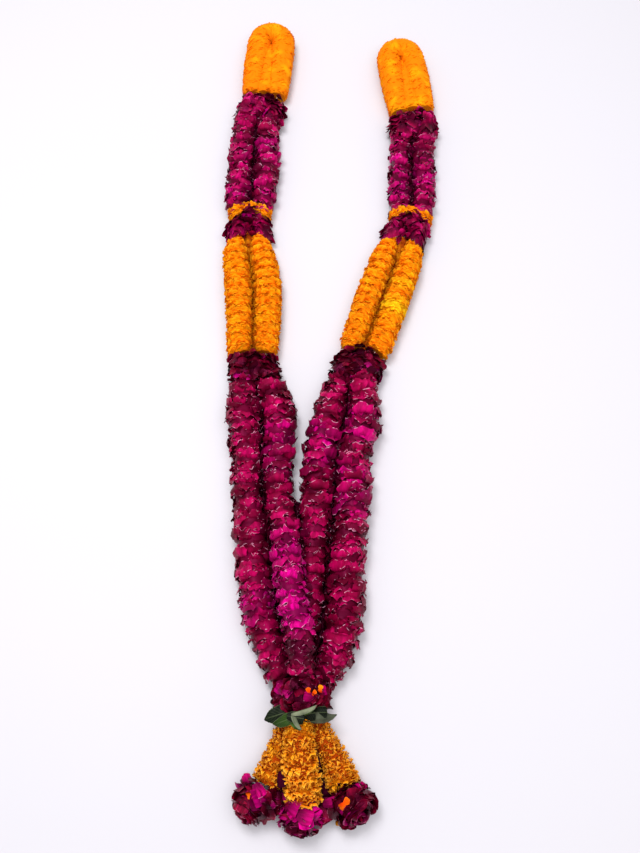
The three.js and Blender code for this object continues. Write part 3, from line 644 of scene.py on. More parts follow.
# Marigold petals in the groove between a leg's strands: top and foot of the stretch, height, reach, finish,
# and where they start, from the top
FILLERS = {"bands": ("short", "band", 18, 11.5, marigold, -1),
    "strands": ("middle", "marigolds", 9, 7.5, groove_shade_marigold, 14)}
for leg, hand in OUTER_HAND.items():
    length = loop_station(leg, hand, 0)[1]
    stations = [loop_station(leg, hand, s)[0] for s in span(0.5, length - 0.5)]
    threaded(f"{leg}_loop_of_marigolds", stations, {**LOOP_HEADS, "Seed": 3 + hand},
        [f"{leg}_marigold_loop"])
    stations, end = [], length / 2 - CREASE["before_bend"]
    for s in span(1, end):
        here = sum((loop_station(leg, hand, t)[0]["centre"] for t in (s, length - s)), Vector((0, 0, 0))) / 2
        near_bend = max(0.0, 1 - (end - s) / CREASE["fades"])
        top = CREASE["highest"] + (CREASE["lowest"] - CREASE["highest"]) * near_bend**1.5
        stations.append(station((here.x, here.y, CREASE["height"]), top - CREASE["height"]))
    threaded(f"{leg}_loop_crease_petals", stations, {**LOOP_HEADS, "Seed": 13 + hand, "Spacing": 0.00012})
    for strand, side in (("outer", hand), ("inner", -hand)):
        for part, top, foot, cad in (("band", "short", "band", "band_marigold"),
                ("strand", "middle", "marigolds", "marigolds")):
            highest = STRETCHES[leg][top]
            start = highest + NECK["start"] if part == "strand" else highest
            stations = [leg_station(leg, side, y) for y in span(start - 0.4, STRETCHES[leg][foot] + 0.4)]
            for here in stations:
                above = here["centre"].y - highest + NECK["above"]
                share = min(1.0, max(0.0, above / NECK["length"])) if part == "strand" else 0
                here["reach"] *= 1.02 * (1 - NECK["narrower"] * share**1.2)
            threaded(f"{leg}_{strand}_marigold_{part}", stations, {**HEADS, "Seed": 7 + side + hand},
                [f"{leg}_{strand}_{cad}"], YELLOW_HEAD.get((leg, strand), ()), hang=leg)
    for part, (top, foot, height, reach, finish, start) in FILLERS.items():
        ys = span(STRETCHES[leg][top] + start, STRETCHES[leg][foot] + 1)
        threaded(f"{leg}_marigold_petals_between_{part}", [station((*between_strands(leg, y), height), reach)
            for y in ys], {**HEADS, "Spacing": 0.00018, "Seed": 17 + hand, "Loose": 0.3, "Finish": finish},
            hang=leg)

# The three tassels: the same heads on short threads, the middle tassel lying over the others
TASSELS = {
    "left": ((-400, -50, 13, 12.6), (-419, -54.5, 13, 13.6), (-440, -61, 14.5, 15.6),
        (-454, -67, 15.5, 16.6), (-472, -75, 16, 17)),
    "centre": ((-400, -40.5, 36, 14), (-419, -40.2, 40, 15.8), (-440, -38.8, 38, 18), (-454, -37.4, 32, 19),
        (-490, -34.5, 20, 19.5)),
    "right": ((-400, -23, 13, 12.6), (-419, -18.5, 13, 13.8), (-440, -7, 14.8, 16), (-454, 0.5, 15.8, 17),
        (-478, 9.5, 16.5, 17.8)),
}
TASSEL_SPAN = {"left": (-403, -468), "centre": (-404, -488), "right": (-403, -473)}
for name, (top, foot) in TASSEL_SPAN.items():
    threaded(f"marigold_tassel_{name}", [sheaf_station(TASSELS, name, y) for y in span(top, foot)],
        {**TASSEL_HEADS, "Seed": 21 + len(name)}, [f"tassel_{name}"])


# ---- Rose petals: loose petals packed face to face on the threads, a rose's worth at a time ----
# The petals are threaded through their middles and pressed together, so that a strand is lumpy, every 15 mm
# or so, and shows their turned-over ends, whose thin rims catch the light as painted pale highlights. Dark
# crimson roses, with brighter magenta ones here and there.
loose_petals = petal_shapes("rose", 70, half_angle=(24, 5, 4), root=0.4, turn_over=(0.85, 0.25, 4),
    wave=(0.08, 0.025, 3), cells=(6, 6), bend=(0.34, 0.42, 1.0))


def rose_finish(name, deep, middle, bright, rim_highlight, gloss):
    """A rose petal: silky, veined to its rim. The colour differs from lump to lump and petal to petal."""
    material, tree = finish_named(name, Roughness=gloss, Specular_IOR_Level=0.3,
        Specular_Tint=linear("#FF4F9A"))  # the gloss lies in the coloured skin
    names = ("along", "across", "tone", "fresh", "deep")
    along, across, tone, fresh, pressed_shade = (attribute(tree, name) for name in names)
    place = spot(tree)
    patch = maths(tree, "MULTIPLY_ADD", tone, 0.35, noise(tree, place, 42.0, 1.5))  # patches of 24 mm
    colour = ramp(tree, patch, ((0.5, deep), (0.68, middle), (0.88, bright)))
    # Brighter petals where fresher roses were threaded
    colour = blend(tree, maths(tree, "MULTIPLY", fresh, tone), colour, "#DC0088")
    # Painted shade: soft folds run along each petal, darker in their dips
    fold = maths(tree, "MULTIPLY_ADD", across, 5.0, maths(tree, "MULTIPLY", tone, 60.0))
    folds = noise(tree, node(tree, "ShaderNodeCombineXYZ", {0: fold, 1: along}), 1.0, 2.0)
    colour = blend(tree, ranged(tree, folds, 0.4, 0.62, 0.55, 0.0), colour, deep)
    # Painted shade: roots are darker, deep inside the strand, and so are petals pressed in between two
    # strands or against the table, and those in the hollow above the knot, where the brightness value is
    # below 0
    shaded = ranged(tree, along, 0.2, 0.7, 0.75, 0.0)
    for cause in (maths(tree, "MULTIPLY", pressed_shade, 0.85), ranged(tree, fresh, -0.1, -1.0, 0.0, 0.8)):
        shaded = maths(tree, "MAXIMUM", shaded, cause)
    colour = blend(tree, shaded, colour, "#26000E")
    # Painted highlight: here and there a turned-over rim catches the light and is painted pale, a few
    # millimetres long
    patchy = ranged(tree, noise(tree, place, 190.0, 1.0), 0.54, 0.64, 0.0, 0.75)
    colour = blend(tree, maths(tree, "MULTIPLY", ranged(tree, along, 0.95, 0.985), patchy), colour, rim_highlight)
    # Veins about 1 mm apart run to the rim
    grid = node(tree, "ShaderNodeCombineXYZ", {0: across, 1: along})
    veins = node(tree, "ShaderNodeTexWave", {"Vector": grid, "Scale": 6.0, "Distortion": 1.5, "Detail": 1.0})
    cover(tree, colour, veins, strength=0.25, depth=0.0004)
    return material


crimson = rose_finish("crimson_rose_petal", "#54001A", "#920038", "#BE0458", "#ECA8C8", 0.4)
PETALS = {"Shapes": loose_petals, "Spacing": 0.00048, "Turn": GOLDEN_ANGLE, "Clump": 0.0155,
    "Clump depth": 0.18, "Uneven": 8.0, "Core": 0.76, "Press": 1.45, "Lean": 0.3, "Loose": 0.14,
    "Both ways": 1.3, "Ruffle": 0.006, "Ruffle size": 130.0, "Finish": crimson}
FRESHNESS_AND_SHADE = {  # where brighter roses were threaded, and below 0 where petals are painted dark as the shade in the hollow above the knot: Y, half length, how bright
    "left_outer": ((-284, 12, 1.6), (238, 6, 0.8), (280, 70, 0.3)),
    "left_inner": ((-92, 16, 0.7), (-132, 10, 0.6), (-248, 30, 1.6), (-298, 22, 2.2), (-333, 13, -2.2),
        (280, 70, 0.3), (306, 8, 0.9), (240, 6, 0.8)),
    "right_inner": ((-95, 9, 1.3), (-124, 6, 1.2), (280, 70, 0.45), (290, 8, 0.6), (241, 8, 0.9)),
    "right_outer": ((-63, 5, 1.1), (-89, 10, 0.8), (-140, 10, 0.7), (-174, 10, 0.8), (280, 70, 0.45),
        (261, 9, 1.2)),
}
SHORT_FULLER = 1.06
FULLER = {  # how much further than pressed petals the loosely packed ones reach: Y, share
    "left_outer": ((-330, 1.16), (-220, 1.15), (-170, 1.1), (0, 1.08)),
    "left_inner": ((-200, 1.05), (-120, 1.11)),
    "right_inner": ((-160, 1.05), (-100, 1.0), (0, 1.0)),
    "right_outer": ((-330, 1.1), (-170, 1.15), (-60, 1.1)),
}
for leg, hand in OUTER_HAND.items():
    for strand, side in (("outer", hand), ("inner", -hand)):
        name = f"{leg}_{strand}"
        # The last ones hang over the band
        ys = span(STRETCHES[leg]["upper"] + 2, STRETCHES[leg]["short"] - 5)
        stations = [leg_station(leg, side, y) for y in ys]
        for here in stations:
            here["reach"] *= SHORT_FULLER
        threaded(f"{name}_short_rose_petals", stations, {**PETALS, "Seed": 31 + 2 * hand + side},
            [f"{name}_short_petals"], FRESHNESS_AND_SHADE[name], hang=leg)
        stations = [sheaf_station(LONG_STRANDS, name, y) for y in span(STRETCHES[leg]["lower"] + 2, LONG_END)]
        for here in stations:
            here["reach"] *= np.interp(here["centre"].y, *zip(*FULLER[name]))
        threaded(f"{name}_long_rose_petals", stations, {**PETALS, "Seed": 41 + 2 * hand + side},
            [f"{name}_long_petals"], FRESHNESS_AND_SHADE[name])


# ---- Petals caught in the grooves: what is squeezed out between two strands that lie side by side ----
# Loose petals, painted nearly black as the shadow in the grooves. They are held only by the strands on both
# sides of them, and lie on the table.
groove_shadow_rose = rose_finish("groove_shadow_rose_petal", "#0A0004", "#1A000A", "#2C0014", "#3C1424", 0.6)
CAUGHT = {"height": 8, "least": 5.2, "under": 4, "narrow": 4}  # under: how far it goes on below both strands


def caught(name, places):
    """A thin string of petals on the table, from its places X, Y and half the gap's width."""
    stations = [station((x, y, CAUGHT["height"]), max(CAUGHT["least"], wide + CAUGHT["under"]))
        for x, y, wide in places]
    threaded(name, stations, {**PETALS, "Spacing": 0.001, "Loose": 0.4, "Core": 0.8, "Seed": 51,
        "Finish": groove_shadow_rose})


def facing_edges(tables, first, second, y):
    """X of the first strand's right edge and the second one's left edge."""
    (_, x1, _, r1), (_, x2, _, r2) = row_at(tables[first], y), row_at(tables[second], y)
    return x1 + r1, x2 - r2


for leg in LEGS:
    ys = span(STRETCHES[leg]["upper"] + 4, STRETCHES[leg]["short"] - 4)
    caught(f"{leg}_petals_caught_between_short_strands",
        [(*between_strands(leg, y), CAUGHT["narrow"]) for y in ys])
TOUCHING = (("left_outer", "left_inner", -20, -350), ("right_inner", "right_outer", -20, -355),
    ("left_inner", "right_inner", -166, -236))
for first, second, top, foot in TOUCHING:
    places = []
    for y in span(top, foot):
        left_edge, right_edge = facing_edges(LONG_STRANDS, first, second, y)
        places.append(((left_edge + right_edge) / 2, y, abs(right_edge - left_edge) / 2))
    caught(f"petals_caught_beside_{first}", places)
for first, second, foot in (("left", "centre", -476), ("centre", "right", -480)):
    caught(f"petals_caught_beside_{first}_tassel",
        [(sum(facing_edges(TASSELS, first, second, y)) / 2, y, CAUGHT["narrow"]) for y in span(-408, foot)])


# ---- Whole roses on the threads: one on each strand at the ends of the petal stretches ----
# Small dark crimson roses, threaded through stalk and face, with their faces towards the foot of the garland.
# The thread's pull opens them, and the outer petals turn over.
def toned(shape, **levels):
    """A shape that has the same value at all its points, for each name."""
    points, faces, values = shape
    return points, faces, {**values, **{key: [level] * len(points) for key, level in levels.items()}}


def joined(shapes):
    """Several shapes as one."""
    points, faces, values = [], [], {"along": [], "across": [], "tone": [], "fresh": []}
    for more, more_faces, more_values in shapes:
        faces += [tuple(len(points) + k for k in face) for face in more_faces]
        points += [tuple(p) for p in more]
        for key in values:
            values[key] += more_values.get(key, [])
    return np.array(points), faces, values


def tight_rose(count, length, radius, seed, openness):
    """A rose with its root at the origin and its face along +Z, its petals wrapped round each other."""
    draw = np.random.default_rng(seed)
    petals = []
    for i in range(count):
        f = i / (count - 1)  # 0 in the middle, 1 outside
        azimuth = GOLDEN_ANGLE * i + draw.uniform(-0.25, 0.25)
        half = math.radians(78 - 30 * f) * draw.uniform(0.9, 1.1)
        belly = radius * (0.1 + 0.72 * f**0.75) * draw.uniform(0.93, 1.05)
        height = length * (0.92 - openness * f**2.2) * draw.uniform(0.93, 1.07)
        flare = (0.03 + 0.30 * f**1.3) * radius * draw.uniform(0.7, 1.2)
        roll = (0.02 + 0.20 * f) * length * draw.uniform(0.5, 1.3)
        phase, ripple = draw.uniform(0, 6.28, 2), draw.uniform(0.03, 0.07) * radius
        shade, glow = draw.uniform(0, 1), max(0.0, draw.uniform(-1.2, 1))

        def point_at(t, u):
            s = t * (1 - 0.2 * abs(u) ** 2.5)
            angle = azimuth + half * u * (0.45 + 0.55 * math.sin(math.pi * (0.15 + 0.5 * s)))
            lip = max(0.0, s - 0.72) / 0.28
            r = belly * math.sin(min(1.0, 1.25 * s) * math.pi / 2) ** 0.8
            r += flare * lip**1.4 + 0.10 * belly * u * (1 - f) + ripple * s * s * math.sin(3.5 * u + phase[0])
            z = height * s - roll * lip**2.2 + 0.6 * ripple * s * s * math.sin(4.5 * u + phase[1])
            return r * math.cos(angle), r * math.sin(angle), z

        petals.append(toned(sheet(7, 8, point_at), tone=shade, fresh=glow))
    return joined(petals)


def facing(direction, spin):
    """A turn that takes +Z to a direction, after a spin about it."""
    return Vector(direction).to_track_quat("Z", "Y").to_matrix() @ Matrix.Rotation(spin, 3, "Z")


def cupped_petal(middle, outward, tip, length, half, lift, cup, draw):
    """One broad petal: its middle, which way it faces and points, its size in millimetres, and how it
    curls."""
    wide = outward.cross(tip)
    phase, ripple = draw.uniform(0, 6.28, 2), draw.uniform(0.4, 1.1)

    def point_at(t, u):
        s = t * (1 - 0.2 * abs(u) ** 2.4)
        half_here = half * (0.35 + 0.65 * math.sin(math.pi * min(0.5, 0.08 + 0.75 * t)))
        rise = lift * s**2.2 - 2.5 * (1 - s) ** 2 - cup * half * u * u * (0.4 + s)
        rise += ripple * s * (math.sin(4 * u + phase[0]) + 0.5 * math.sin(7 * u + phase[1]))
        # The lip turns over
        ahead = length * (s - 0.45) - 0.12 * length * max(0.0, s - 0.75) ** 2 * 16
        return middle + tip * ahead + wide * (half_here * u) + outward * rise

    return sheet(6, 6, point_at)


def open_rose(seed, half_length, radius, petals, size, flare, brightness, backwards=0.25, blunt=1.0):
    """A rose pulled open: broad cupped petals that overlap all round it, its face along +Z. A blunt below 1
    makes it more of a barrel than a ball."""
    draw = np.random.default_rng(seed)
    parts, core = [], []
    for i in range(petals):
        f = (i + 0.5) / petals
        layer = 0.66 + 0.34 * draw.uniform(0, 1) ** 0.6
        level = math.asin(np.clip(1.75 * f - 0.85 + draw.uniform(-0.12, 0.12), -0.97, 0.97))
        angle = GOLDEN_ANGLE * i + draw.uniform(-0.3, 0.3)
        around = Vector((math.cos(angle), math.sin(angle), 0))
        outward = (around * math.cos(level) + Vector((0, 0, math.sin(level)))).normalized()
        raised = Vector((0, 0, half_length * math.sin(level)))
        middle = layer * (around * radius * math.cos(level) ** blunt + raised)
        tip = (Vector((0, 0, 1)) - outward * outward.z).normalized()
        swing = draw.uniform(-0.8, 0.8) + (math.pi if draw.uniform(0, 1) < backwards else 0)
        tip = Matrix.Rotation(swing, 3, outward) @ tip
        length, half = size * draw.uniform(0.8, 1.2), 0.6 * size * draw.uniform(0.8, 1.15)
        lift, cup = flare * draw.uniform(0.3, 1.6), draw.uniform(0.1, 0.45)
        shade = draw.uniform(0, 1)
        glow = draw.uniform(0.7, 1.5) if draw.uniform(0, 1) < brightness else 0.0
        petal = cupped_petal(middle, outward, tip, length, half, lift, cup, draw)
        parts.append(toned(petal, tone=shade, fresh=glow))
    # The tight middle, so that nothing shows through; it carries a root's values, so it is painted dark as
    # the shade inside the rose
    for k in range(7):
        for j in range(10):
            turn, level = 2 * math.pi * j / 10, math.radians(-90 + 30 * k)
            wide = 0.72 * radius * max(0.0, math.cos(level)) ** blunt
            core.append((wide * math.cos(turn), wide * math.sin(turn), 0.8 * half_length * math.sin(level)))
    parts.append(toned((core, quads(6, 10, closed=True), {}), along=0.2, across=0.5, tone=0.2, fresh=0.0))
    return joined(parts)


def rose_object(name, parts, material, replaced=(), hang=None):
    """Several roses, each with its turn and its place, as one object that rests on the table."""
    points, faces, values = joined([
        (shape[0] @ np.array(turn).T / 1000 + np.array(Vector(place) / 1000 + SHIFT), *shape[1:])
        for shape, turn, place in parts])
    points[:, 2] = np.maximum(points[:, 2], CLEAR)
    made = mesh_object(name, points, faces, material, values)
    if hang:
        hang_outer_sides(made, hang)
    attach(made, "root")
    if replaced:
        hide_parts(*replaced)


dark_rose = rose_finish("dark_crimson_rose", "#260008", "#5C001A", "#980A34", "#CC6C8C", 0.32)
collar_rose = rose_finish("crimson_rose", "#4A001C", "#98003C", "#C8106A", "#E08CB0", 0.32)
# A cluster's rose: how big its petals are and how far they flare, in millimetres, and its form
ROSE = {"size": 11, "flare": 3.5, "brightness": 0.07, "blunt": 0.5}
ROSE_STRETCHES = (("upper", "loop", "upper"), ("middle", "band", "middle"), ("lower", "marigolds", "lower"))
CLUSTERS = {  # radius, half length and lift towards the loop as shares of the stretch, finish
    "upper": (19.6, 0.54, 0.02, collar_rose),
    "middle": (16.8, 0.6, 0.14, collar_rose),
    "lower": (19.0, 0.54, 0.0, dark_rose),
}
# How much lower the free side of a cluster's foot hangs than its thread, as a share of the way out to that
# side
HEM = {"left": {"outer": 0.85, "inner": 0.8}, "right": {"outer": 1.1, "inner": 0.3}}
HEM_AT = {"upper": 0.4, "middle": 1.0, "lower": 0.15}  # how much of that each cluster has
# Height and radius of the petals between two roses, and their half length and lift as for the roses
BETWEEN = {"upper": (20, 13, 0.46, 0.04), "middle": (19, 12, 0.36, 0.3), "lower": (19, 13, 0.46, 0.04)}
for leg, hand in OUTER_HAND.items():
    for k, (level, top, foot) in enumerate(ROSE_STRETCHES):
        radius, half_length, lift, finish = CLUSTERS[level]
        middles = []
        for strand, side in (("outer", hand), ("inner", -hand)):
            start = leg_station(leg, side, STRETCHES[leg][top])
            end = leg_station(leg, side, STRETCHES[leg][foot])
            run = end["centre"] - start["centre"]
            middles.append((start["centre"] + end["centre"]) / 2 - lift * run)
            points, *rest = open_rose(100 + 7 * k + 3 * hand + side, half_length * run.length, 0.86 * radius,
                round(1.7 * run.length), **ROSE)
            turn = facing(run, k)
            foot_share = np.clip(0.5 + points[:, 2] / run.length, 0, 1)
            outwards = np.maximum(0, points @ np.array(turn.transposed() @ start["side"]))
            points[:, 2] += HEM[leg][strand] * HEM_AT[level] * outwards * foot_share
            points[:, :2] *= (0.9 + 0.14 * foot_share)[:, None]  # wider at the foot, where the petals open
            rose_object(f"{leg}_{strand}_{level}_whole_rose", [((points, *rest), turn, middles[-1])], finish,
                [f"{leg}_{strand}_{level}_rose"], hang=leg)
        # Petals of both roses close the dip between them
        height, radius, half_length, lift = BETWEEN[level]
        middle = (middles[0] + middles[1]) / 2 - lift * run
        middle.z = height
        shape = open_rose(120 + 7 * k + 3 * hand, half_length * run.length, radius, round(0.9 * run.length),
            **{**ROSE, "flare": 3})
        rose_object(f"{leg}_{level}_petals_between_roses", [(shape, facing(run, k), middle)], finish,
            hang=leg)


# ---- The knot's roses: three whole roses bound round the threads' ends, one up and one to each side ----
# Their stalks are tied under the binding. The strands' ends and the leaves press on them, so their petals
# spread.
KNOT_ROSES = {  # root, which way it faces, length, radius
    "top": ((-38, -381.5, 31.2), (0, -0.04, 1), 27, 25),
    "left": ((-45.2, -381.5, 16.5), (-1, 0, 0.06), 28, 22),
    "right": ((-30.8, -381.5, 16.5), (1, 0, 0.06), 28, 22),
}
for k, (name, (root, towards, length, radius)) in enumerate(KNOT_ROSES.items()):
    shape = open_rose(141 + k, length * 0.36, radius * 0.8, 96, size=10, flare=3.5, brightness=0.08,
        backwards=0.5)
    place = Vector(root) + Vector(towards).normalized() * length * 0.45
    rose_object(f"knot_whole_rose_{name}", [(shape, facing(towards, k), place)], dark_rose,
        [f"knot_rose_{name}"])


# ---- The tassels' roses: one whole rose below each tassel, lying on the table with its face outwards ----
# The same roses, open, each with its tight middle still showing at its face.
END_ROSES = {  # root, which way it faces, length, radius, how many of its petals are bright
    "left": ((-75, -471, 16), (-0.6, -0.8, 0.2), 38, 25.5, 0.15),
    "centre": ((-36.5, -486, 17), (-0.1, -0.97, 0.2), 31, 25, 0.3),
    "right": ((6.5, -475.5, 14), (0.5, -0.74, 0.46), 34, 27.5, 0.06),
}
for k, (name, (root, towards, length, radius, brightness)) in enumerate(END_ROSES.items()):
    outer = open_rose(151 + k, length * 0.5, radius * 0.84, 72, size=13, flare=4, brightness=brightness,
        blunt=0.7)
    inner = tight_rose(20, length * 0.66, radius * 0.72, 160 + k, openness=0.35)
    along_axis = Vector(towards).normalized()
    turn = facing(towards, k)
    rose_object(f"end_whole_rose_{name}", [(outer, turn, Vector(root) + along_axis * length * 0.42),
        (inner, turn, Vector(root) + along_axis * length * 0.45)], dark_rose, [f"end_rose_{name}"])


# ---- The leaves: five rose leaves tucked under the knot's roses, tied in by their stalks ----
# Dark green and glossy above, paler and matt below, with toothed pale edges and a crease along the midrib.
# The roses and the tassels press them flat across the knot, so some are folded over and show their backs.
def upper_side():
    """Mottled green, painted lighter or darker by how much light falls on the leaf, with a pale midrib, side
    veins that slant to the tip, and a pale edge.
    """
    material, tree = finish_named("rose_leaf_upper_side", Roughness=0.5, Specular_IOR_Level=0.1)
    patchy = ranged(tree, noise(tree, spot(tree), 90.0, 3.0), 0.3, 0.7, 0.7, 0.0)
    colour = blend(tree, attribute(tree, "light"), "#050A04", "#3C5E1A")
    colour = blend(tree, patchy, colour, "#020A05")
    off_rib = maths(tree, "ABSOLUTE", maths(tree, "SUBTRACT", attribute(tree, "across"), 0.5))
    slant = maths(tree, "MULTIPLY_ADD", off_rib, -0.6, attribute(tree, "along"))
    side_veins = node(tree, "ShaderNodeTexWave", {"Vector": node(tree, "ShaderNodeCombineXYZ", {0: slant}),
        "Scale": 2.6})
    veined = maths(tree, "MAXIMUM", ranged(tree, side_veins, 0.9, 1.0, 0.0, 0.12),
        ranged(tree, off_rib, 0.0, 0.04, 0.35, 0.0))
    pale = maths(tree, "MAXIMUM", veined, ranged(tree, off_rib, 0.46, 0.5, 0.0, 0.5))
    cover(tree, blend(tree, pale, colour, "#7C8A5E"), veined, strength=0.5, depth=0.0005, sunk=True)
    return material


leaf_green = upper_side()
leaf_back, back_tree = finish_named("rose_leaf_under_side", Roughness=0.6, Specular_IOR_Level=0.15)
# The underside too is painted lighter or darker by how much light falls on it
back_light = blend(back_tree, attribute(back_tree, "light"), "#141810", "#98A080")
cover(back_tree, blend(back_tree, noise(back_tree, spot(back_tree), 120.0, 3.0), "#0A0E08", back_light))

# Midrib points X, Y, Z; which way the blade faces; half width; how far each half is folded up, in degrees;
# and how lit it is painted, from 0 in shade to 1 in full light
LEAVES = (
    (((-40, -402, 40), (-26, -406, 48), (-11, -405, 44), (-1.6, -400.5, 31)),
        (0.1, -0.1, -1), 7, 50, 12, 0.35),
    (((-46.4, -400.5, 53), (-38, -398.5, 57), (-30, -396, 56), (-21.8, -392.5, 50)),
        (0.1, 0, 1), 5.5, 138, -20, 1.0),
    (((-44, -400, 50), (-43, -406, 56), (-41, -411, 59), (-37.6, -416, 58)),
        (-0.1, 0.3, 1), 7, 128, -16, 0.9),
    (((-42, -402, 47), (-49, -405, 53), (-57, -408, 51), (-66, -410.5, 40)),
        (-0.1, -0.1, 1), 6.5, 16, -6, 0.5),
    (((-44, -396, 32), (-56, -399, 40), (-66, -402, 40), (-75.5, -404.5, 31)),
        (-0.1, 0.2, 1), 10, 16, 4, 0.05),
)
LEAF = {"rows": 24, "columns": 12, "thickness": 0.0005, "crease": 2.5, "far_over": 1.2}


def folded_blade(number, rib_points, towards, half_width, fold_left, fold_right):
    """A leaf along a cubic curve, toothed and waved, each half folded up from the midrib."""
    places = np.array(rib_points, float)

    def point_at(t, u):
        back = 1 - t
        weights = np.array([back**3, 3 * t * back**2, 3 * t * t * back, t**3])
        rates = np.array([-3 * back**2, 3 * back**2 - 6 * t * back, 6 * t * back - 3 * t * t, 3 * t * t])
        centre, ahead = Vector(weights @ places), Vector(rates @ places).normalized()
        face = (Vector(towards) - ahead * Vector(towards).dot(ahead)).normalized()
        wide = ahead.cross(face)
        tooth = 0.93 + 0.07 * (round(t * LEAF["rows"]) % 2)
        half = half_width * (math.sin(math.pi * (0.06 + 0.92 * t) ** 0.9) ** 0.7 * tooth)
        fold = math.radians(fold_left if u < 0 else fold_right)
        reach = abs(u) * half
        # A half that is folded far over rolls round a small bend instead of a sharp crease
        bend = min(1.0, reach / LEAF["crease"]) if abs(fold) > LEAF["far_over"] else 1.0
        sideways, upwards = reach * math.cos(fold * bend), reach * math.sin(fold * bend)
        wave = 0.6 * math.sin(9 * t + number) + 1.4 * u * u * math.sin(11 * t + 2 * number + 2 * u)
        return (centre + wide * (math.copysign(1, u) * sideways) + face * (upwards + wave)) / 1000 + SHIFT

    return sheet(LEAF["rows"], LEAF["columns"], point_at)


for number, (*blade, light) in enumerate(LEAVES, 1):
    points, faces, values = toned(folded_blade(number, *blade), light=light)
    leaf = mesh_object(f"folded_leaf_{number}", points, faces, leaf_green, values)
    leaf.data.materials.append(leaf_back)
    thick = leaf.modifiers.new("thickness", "SOLIDIFY")
    thick.thickness, thick.offset = LEAF["thickness"], -1.0
    thick.material_offset = thick.material_offset_rim = 1
    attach(leaf, "root")
    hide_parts(f"leaf_{number}")


# ---- Single petals and torn leaves: bright, dark and small orange ones on the knot and the tassels ----
# They fell from the strands or tore off as the garland was tied. Most lie on the flowers under them; the
# others are held between two roses or two tassels. The nearly black petals between the tassels and the torn
# leaves in the knot are painted dark, as the shade in the gaps there.
FOOT_PART = -0.3  # the knot and the tassels are below this Y, in metres


def surface_under(x, y):
    """The highest point of the roses below a place on the table, in millimetres, and which way it faces."""
    best, above = None, Vector((x, y, 0)) / 1000 + SHIFT + Vector((0, 0, 0.2))
    for made in bpy.context.scene.objects:
        if "whole_rose" in made.name and made.bound_box[0][1] < FOOT_PART:
            mesh = made.data
            tree = BVHTree.FromPolygons([v.co for v in mesh.vertices], [f.vertices for f in mesh.polygons])
            hit, normal, _, _ = tree.ray_cast(above, Vector((0, 0, -1)))
            if hit and (best is None or hit.z > best[0].z):
                best = (hit, normal if normal.z > 0 else -normal)
    return ((best[0] - SHIFT) * 1000, best[1]) if best else (Vector((x, y, 16)), Vector((0, 0, 1)))


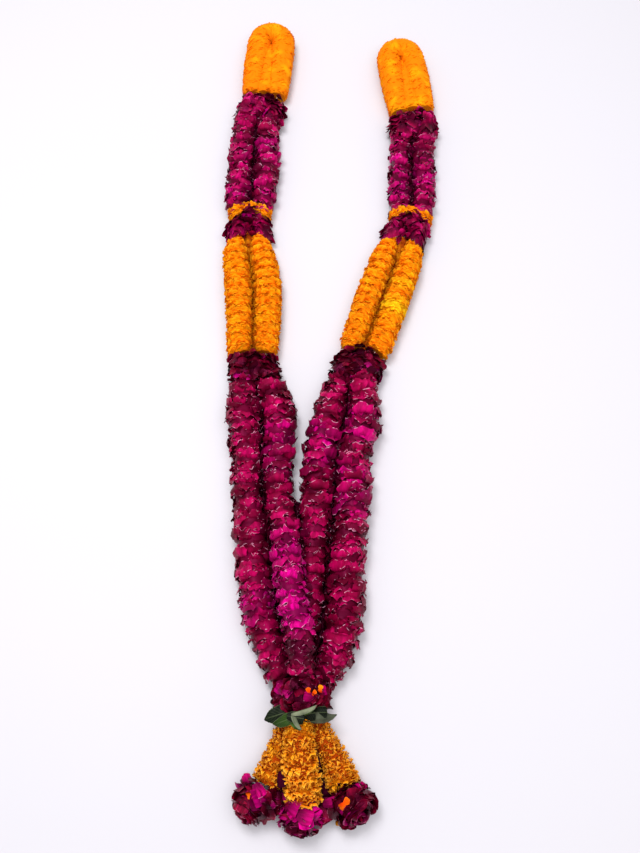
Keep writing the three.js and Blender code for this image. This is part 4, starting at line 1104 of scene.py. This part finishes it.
# Kind, finish and slot; then each one's name, X, Y, Z or None for on what is under it, which way it points in
# degrees, length, half width and brightness
LOOSE = (
    ("bright", crimson, "rose_petals", [
        ("petal_on_knot_1", -54, -379, None, -38, 20, 5, 0.55),
        ("petal_on_knot_2", -59, -371, None, -60, 13, 5, 0.35),
        ("petal_beside_knot", -15.5, -376.5, None, 12, 10, 5, 0.45),
        ("petal_under_knot", -29, -384, None, 170, 15, 5, 0.3)]),
    ("orange", torn_marigold, "marigold", [
        ("petals_on_knot_1", -30.5, -378, None, 100, 8, 1.7, 0),
        ("petals_on_knot_2", -25, -380.5, None, 40, 7, 1.5, 0),
        ("petals_on_knot_3", -18.5, -376.5, None, 80, 8, 1.7, 0),
        ("petal_on_left_rose", -88.7, -478, None, -60, 11, 2.2, 0),
        ("petal_on_right_rose", 6.5, -485.5, None, 40, 15, 1.9, 0)]),
    ("orange", dark_rooted_marigold, "marigold", [
        ("petals_below_right_rose", 3, -504, 14, -10, 13, 3, 0)]),
    ("bright", crimson, "rose_petals", [
        ("petal_on_left_rose_1", -80, -473, None, -60, 17, 6, 0.6),
        ("petal_on_left_rose_2", -93, -464, None, 120, 14, 5, 0.4),
        ("petal_by_right_rose_1", -8, -485, 24, 15, 17, 5, 0.55),
        ("petal_by_right_rose_2", 4, -480, 28, 25, 18, 5, 0.5),
        ("petal_by_right_rose_3", 17, -473, 30, 30, 16, 5, 0.45),
        ("petal_by_right_rose_4", 24, -470, 26, 50, 11, 4, 0.3),
        ("petal_on_centre_rose_1", -56, -483, None, -30, 18, 7, 0.45),
        ("petal_on_centre_rose_2", -46, -490, None, -25, 18, 8, 0.5),
        ("petal_on_centre_rose_3", -33, -497, None, -15, 18, 8, 0.55),
        ("petal_on_centre_rose_4", -23, -503, None, -80, 16, 7, 0.4)]),
    ("dark", dark_rose, "rose_petals", [
        ("petal_between_roses_1", -66, -480, 18, -80, 20, 9, 0),
        ("petal_between_roses_2", -60, -473, 10, -110, 20, 9, 0),
        ("petal_between_roses_3", -62, -489, 10, -60, 18, 9, 0),
        ("petal_between_roses_4", -14, -484, 10, -100, 20, 9, 0),
        ("petal_between_roses_5", -13, -495, 16, -70, 20, 9, 0),
        ("petal_between_roses_6", -14.5, -498, 9, -60, 18, 9, 0)]),
    # Nearly black petals in the gaps between the tassels: painted shade there
    ("dark", groove_shadow_rose, "rose_petals", [
        ("petal_between_left_tassels", -57.5, -463, 30, -86, 18, 4.5, 0),
        ("petal_between_right_tassels", -23, -441, 30, -76, 26, 3.5, 0)]),
    # Torn leaves that carry no light value, so they take the leaf's darkest green: painted shade in the
    # hollows of the knot
    ("torn", leaf_green, "leaf", [
        ("leaf_in_knot_1", -31, -400.5, 47, 10, 18, 8, 0),
        ("leaf_in_knot_3", -43, -404, 54, -10, 20, 6, 0),
        ("leaf_in_knot_2", -18, -398.5, 41, 0, 16, 6, 0)]),
)
SINGLE = {0: 2.4}  # how each petal is swung, in degrees, and how high it lies on what is under it
PINCH = {0: 2.4, 24: 3.4, -26: 2.4 + 2 / 3}  # three petals of a marigold together
UP = Vector((0, 0, 1))
singles = [(kind, finish, slot, *row) for kind, finish, slot, rows in LOOSE for row in rows]
for number, (kind, finish, slot, rest, x, y, z, degrees, length, half, glow) in enumerate(singles):
    draw = np.random.default_rng(200 + number)
    under, upward = surface_under(x, y) if z is None else (Vector((x, y, z)), UP)
    upward = (upward + 1.2 * UP).normalized()  # it lies flatter than what is under it
    tip = Vector((math.cos(math.radians(degrees)), math.sin(math.radians(degrees)), 0))
    tip = (tip - upward * upward.dot(tip)).normalized()
    points, faces, values = toned(joined(cupped_petal(under + upward * height, upward,
        Matrix.Rotation(math.radians(swing), 3, upward) @ tip, length, half, lift=1.5, cup=0.35, draw=draw)
        for swing, height in (PINCH if kind == "orange" else SINGLE).items()), tone=0.5, fresh=glow * 2)
    petal = mesh_object(f"{kind}_{rest}", [Vector(p) / 1000 + SHIFT for p in points], faces, finish, values)
    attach(petal, "root")
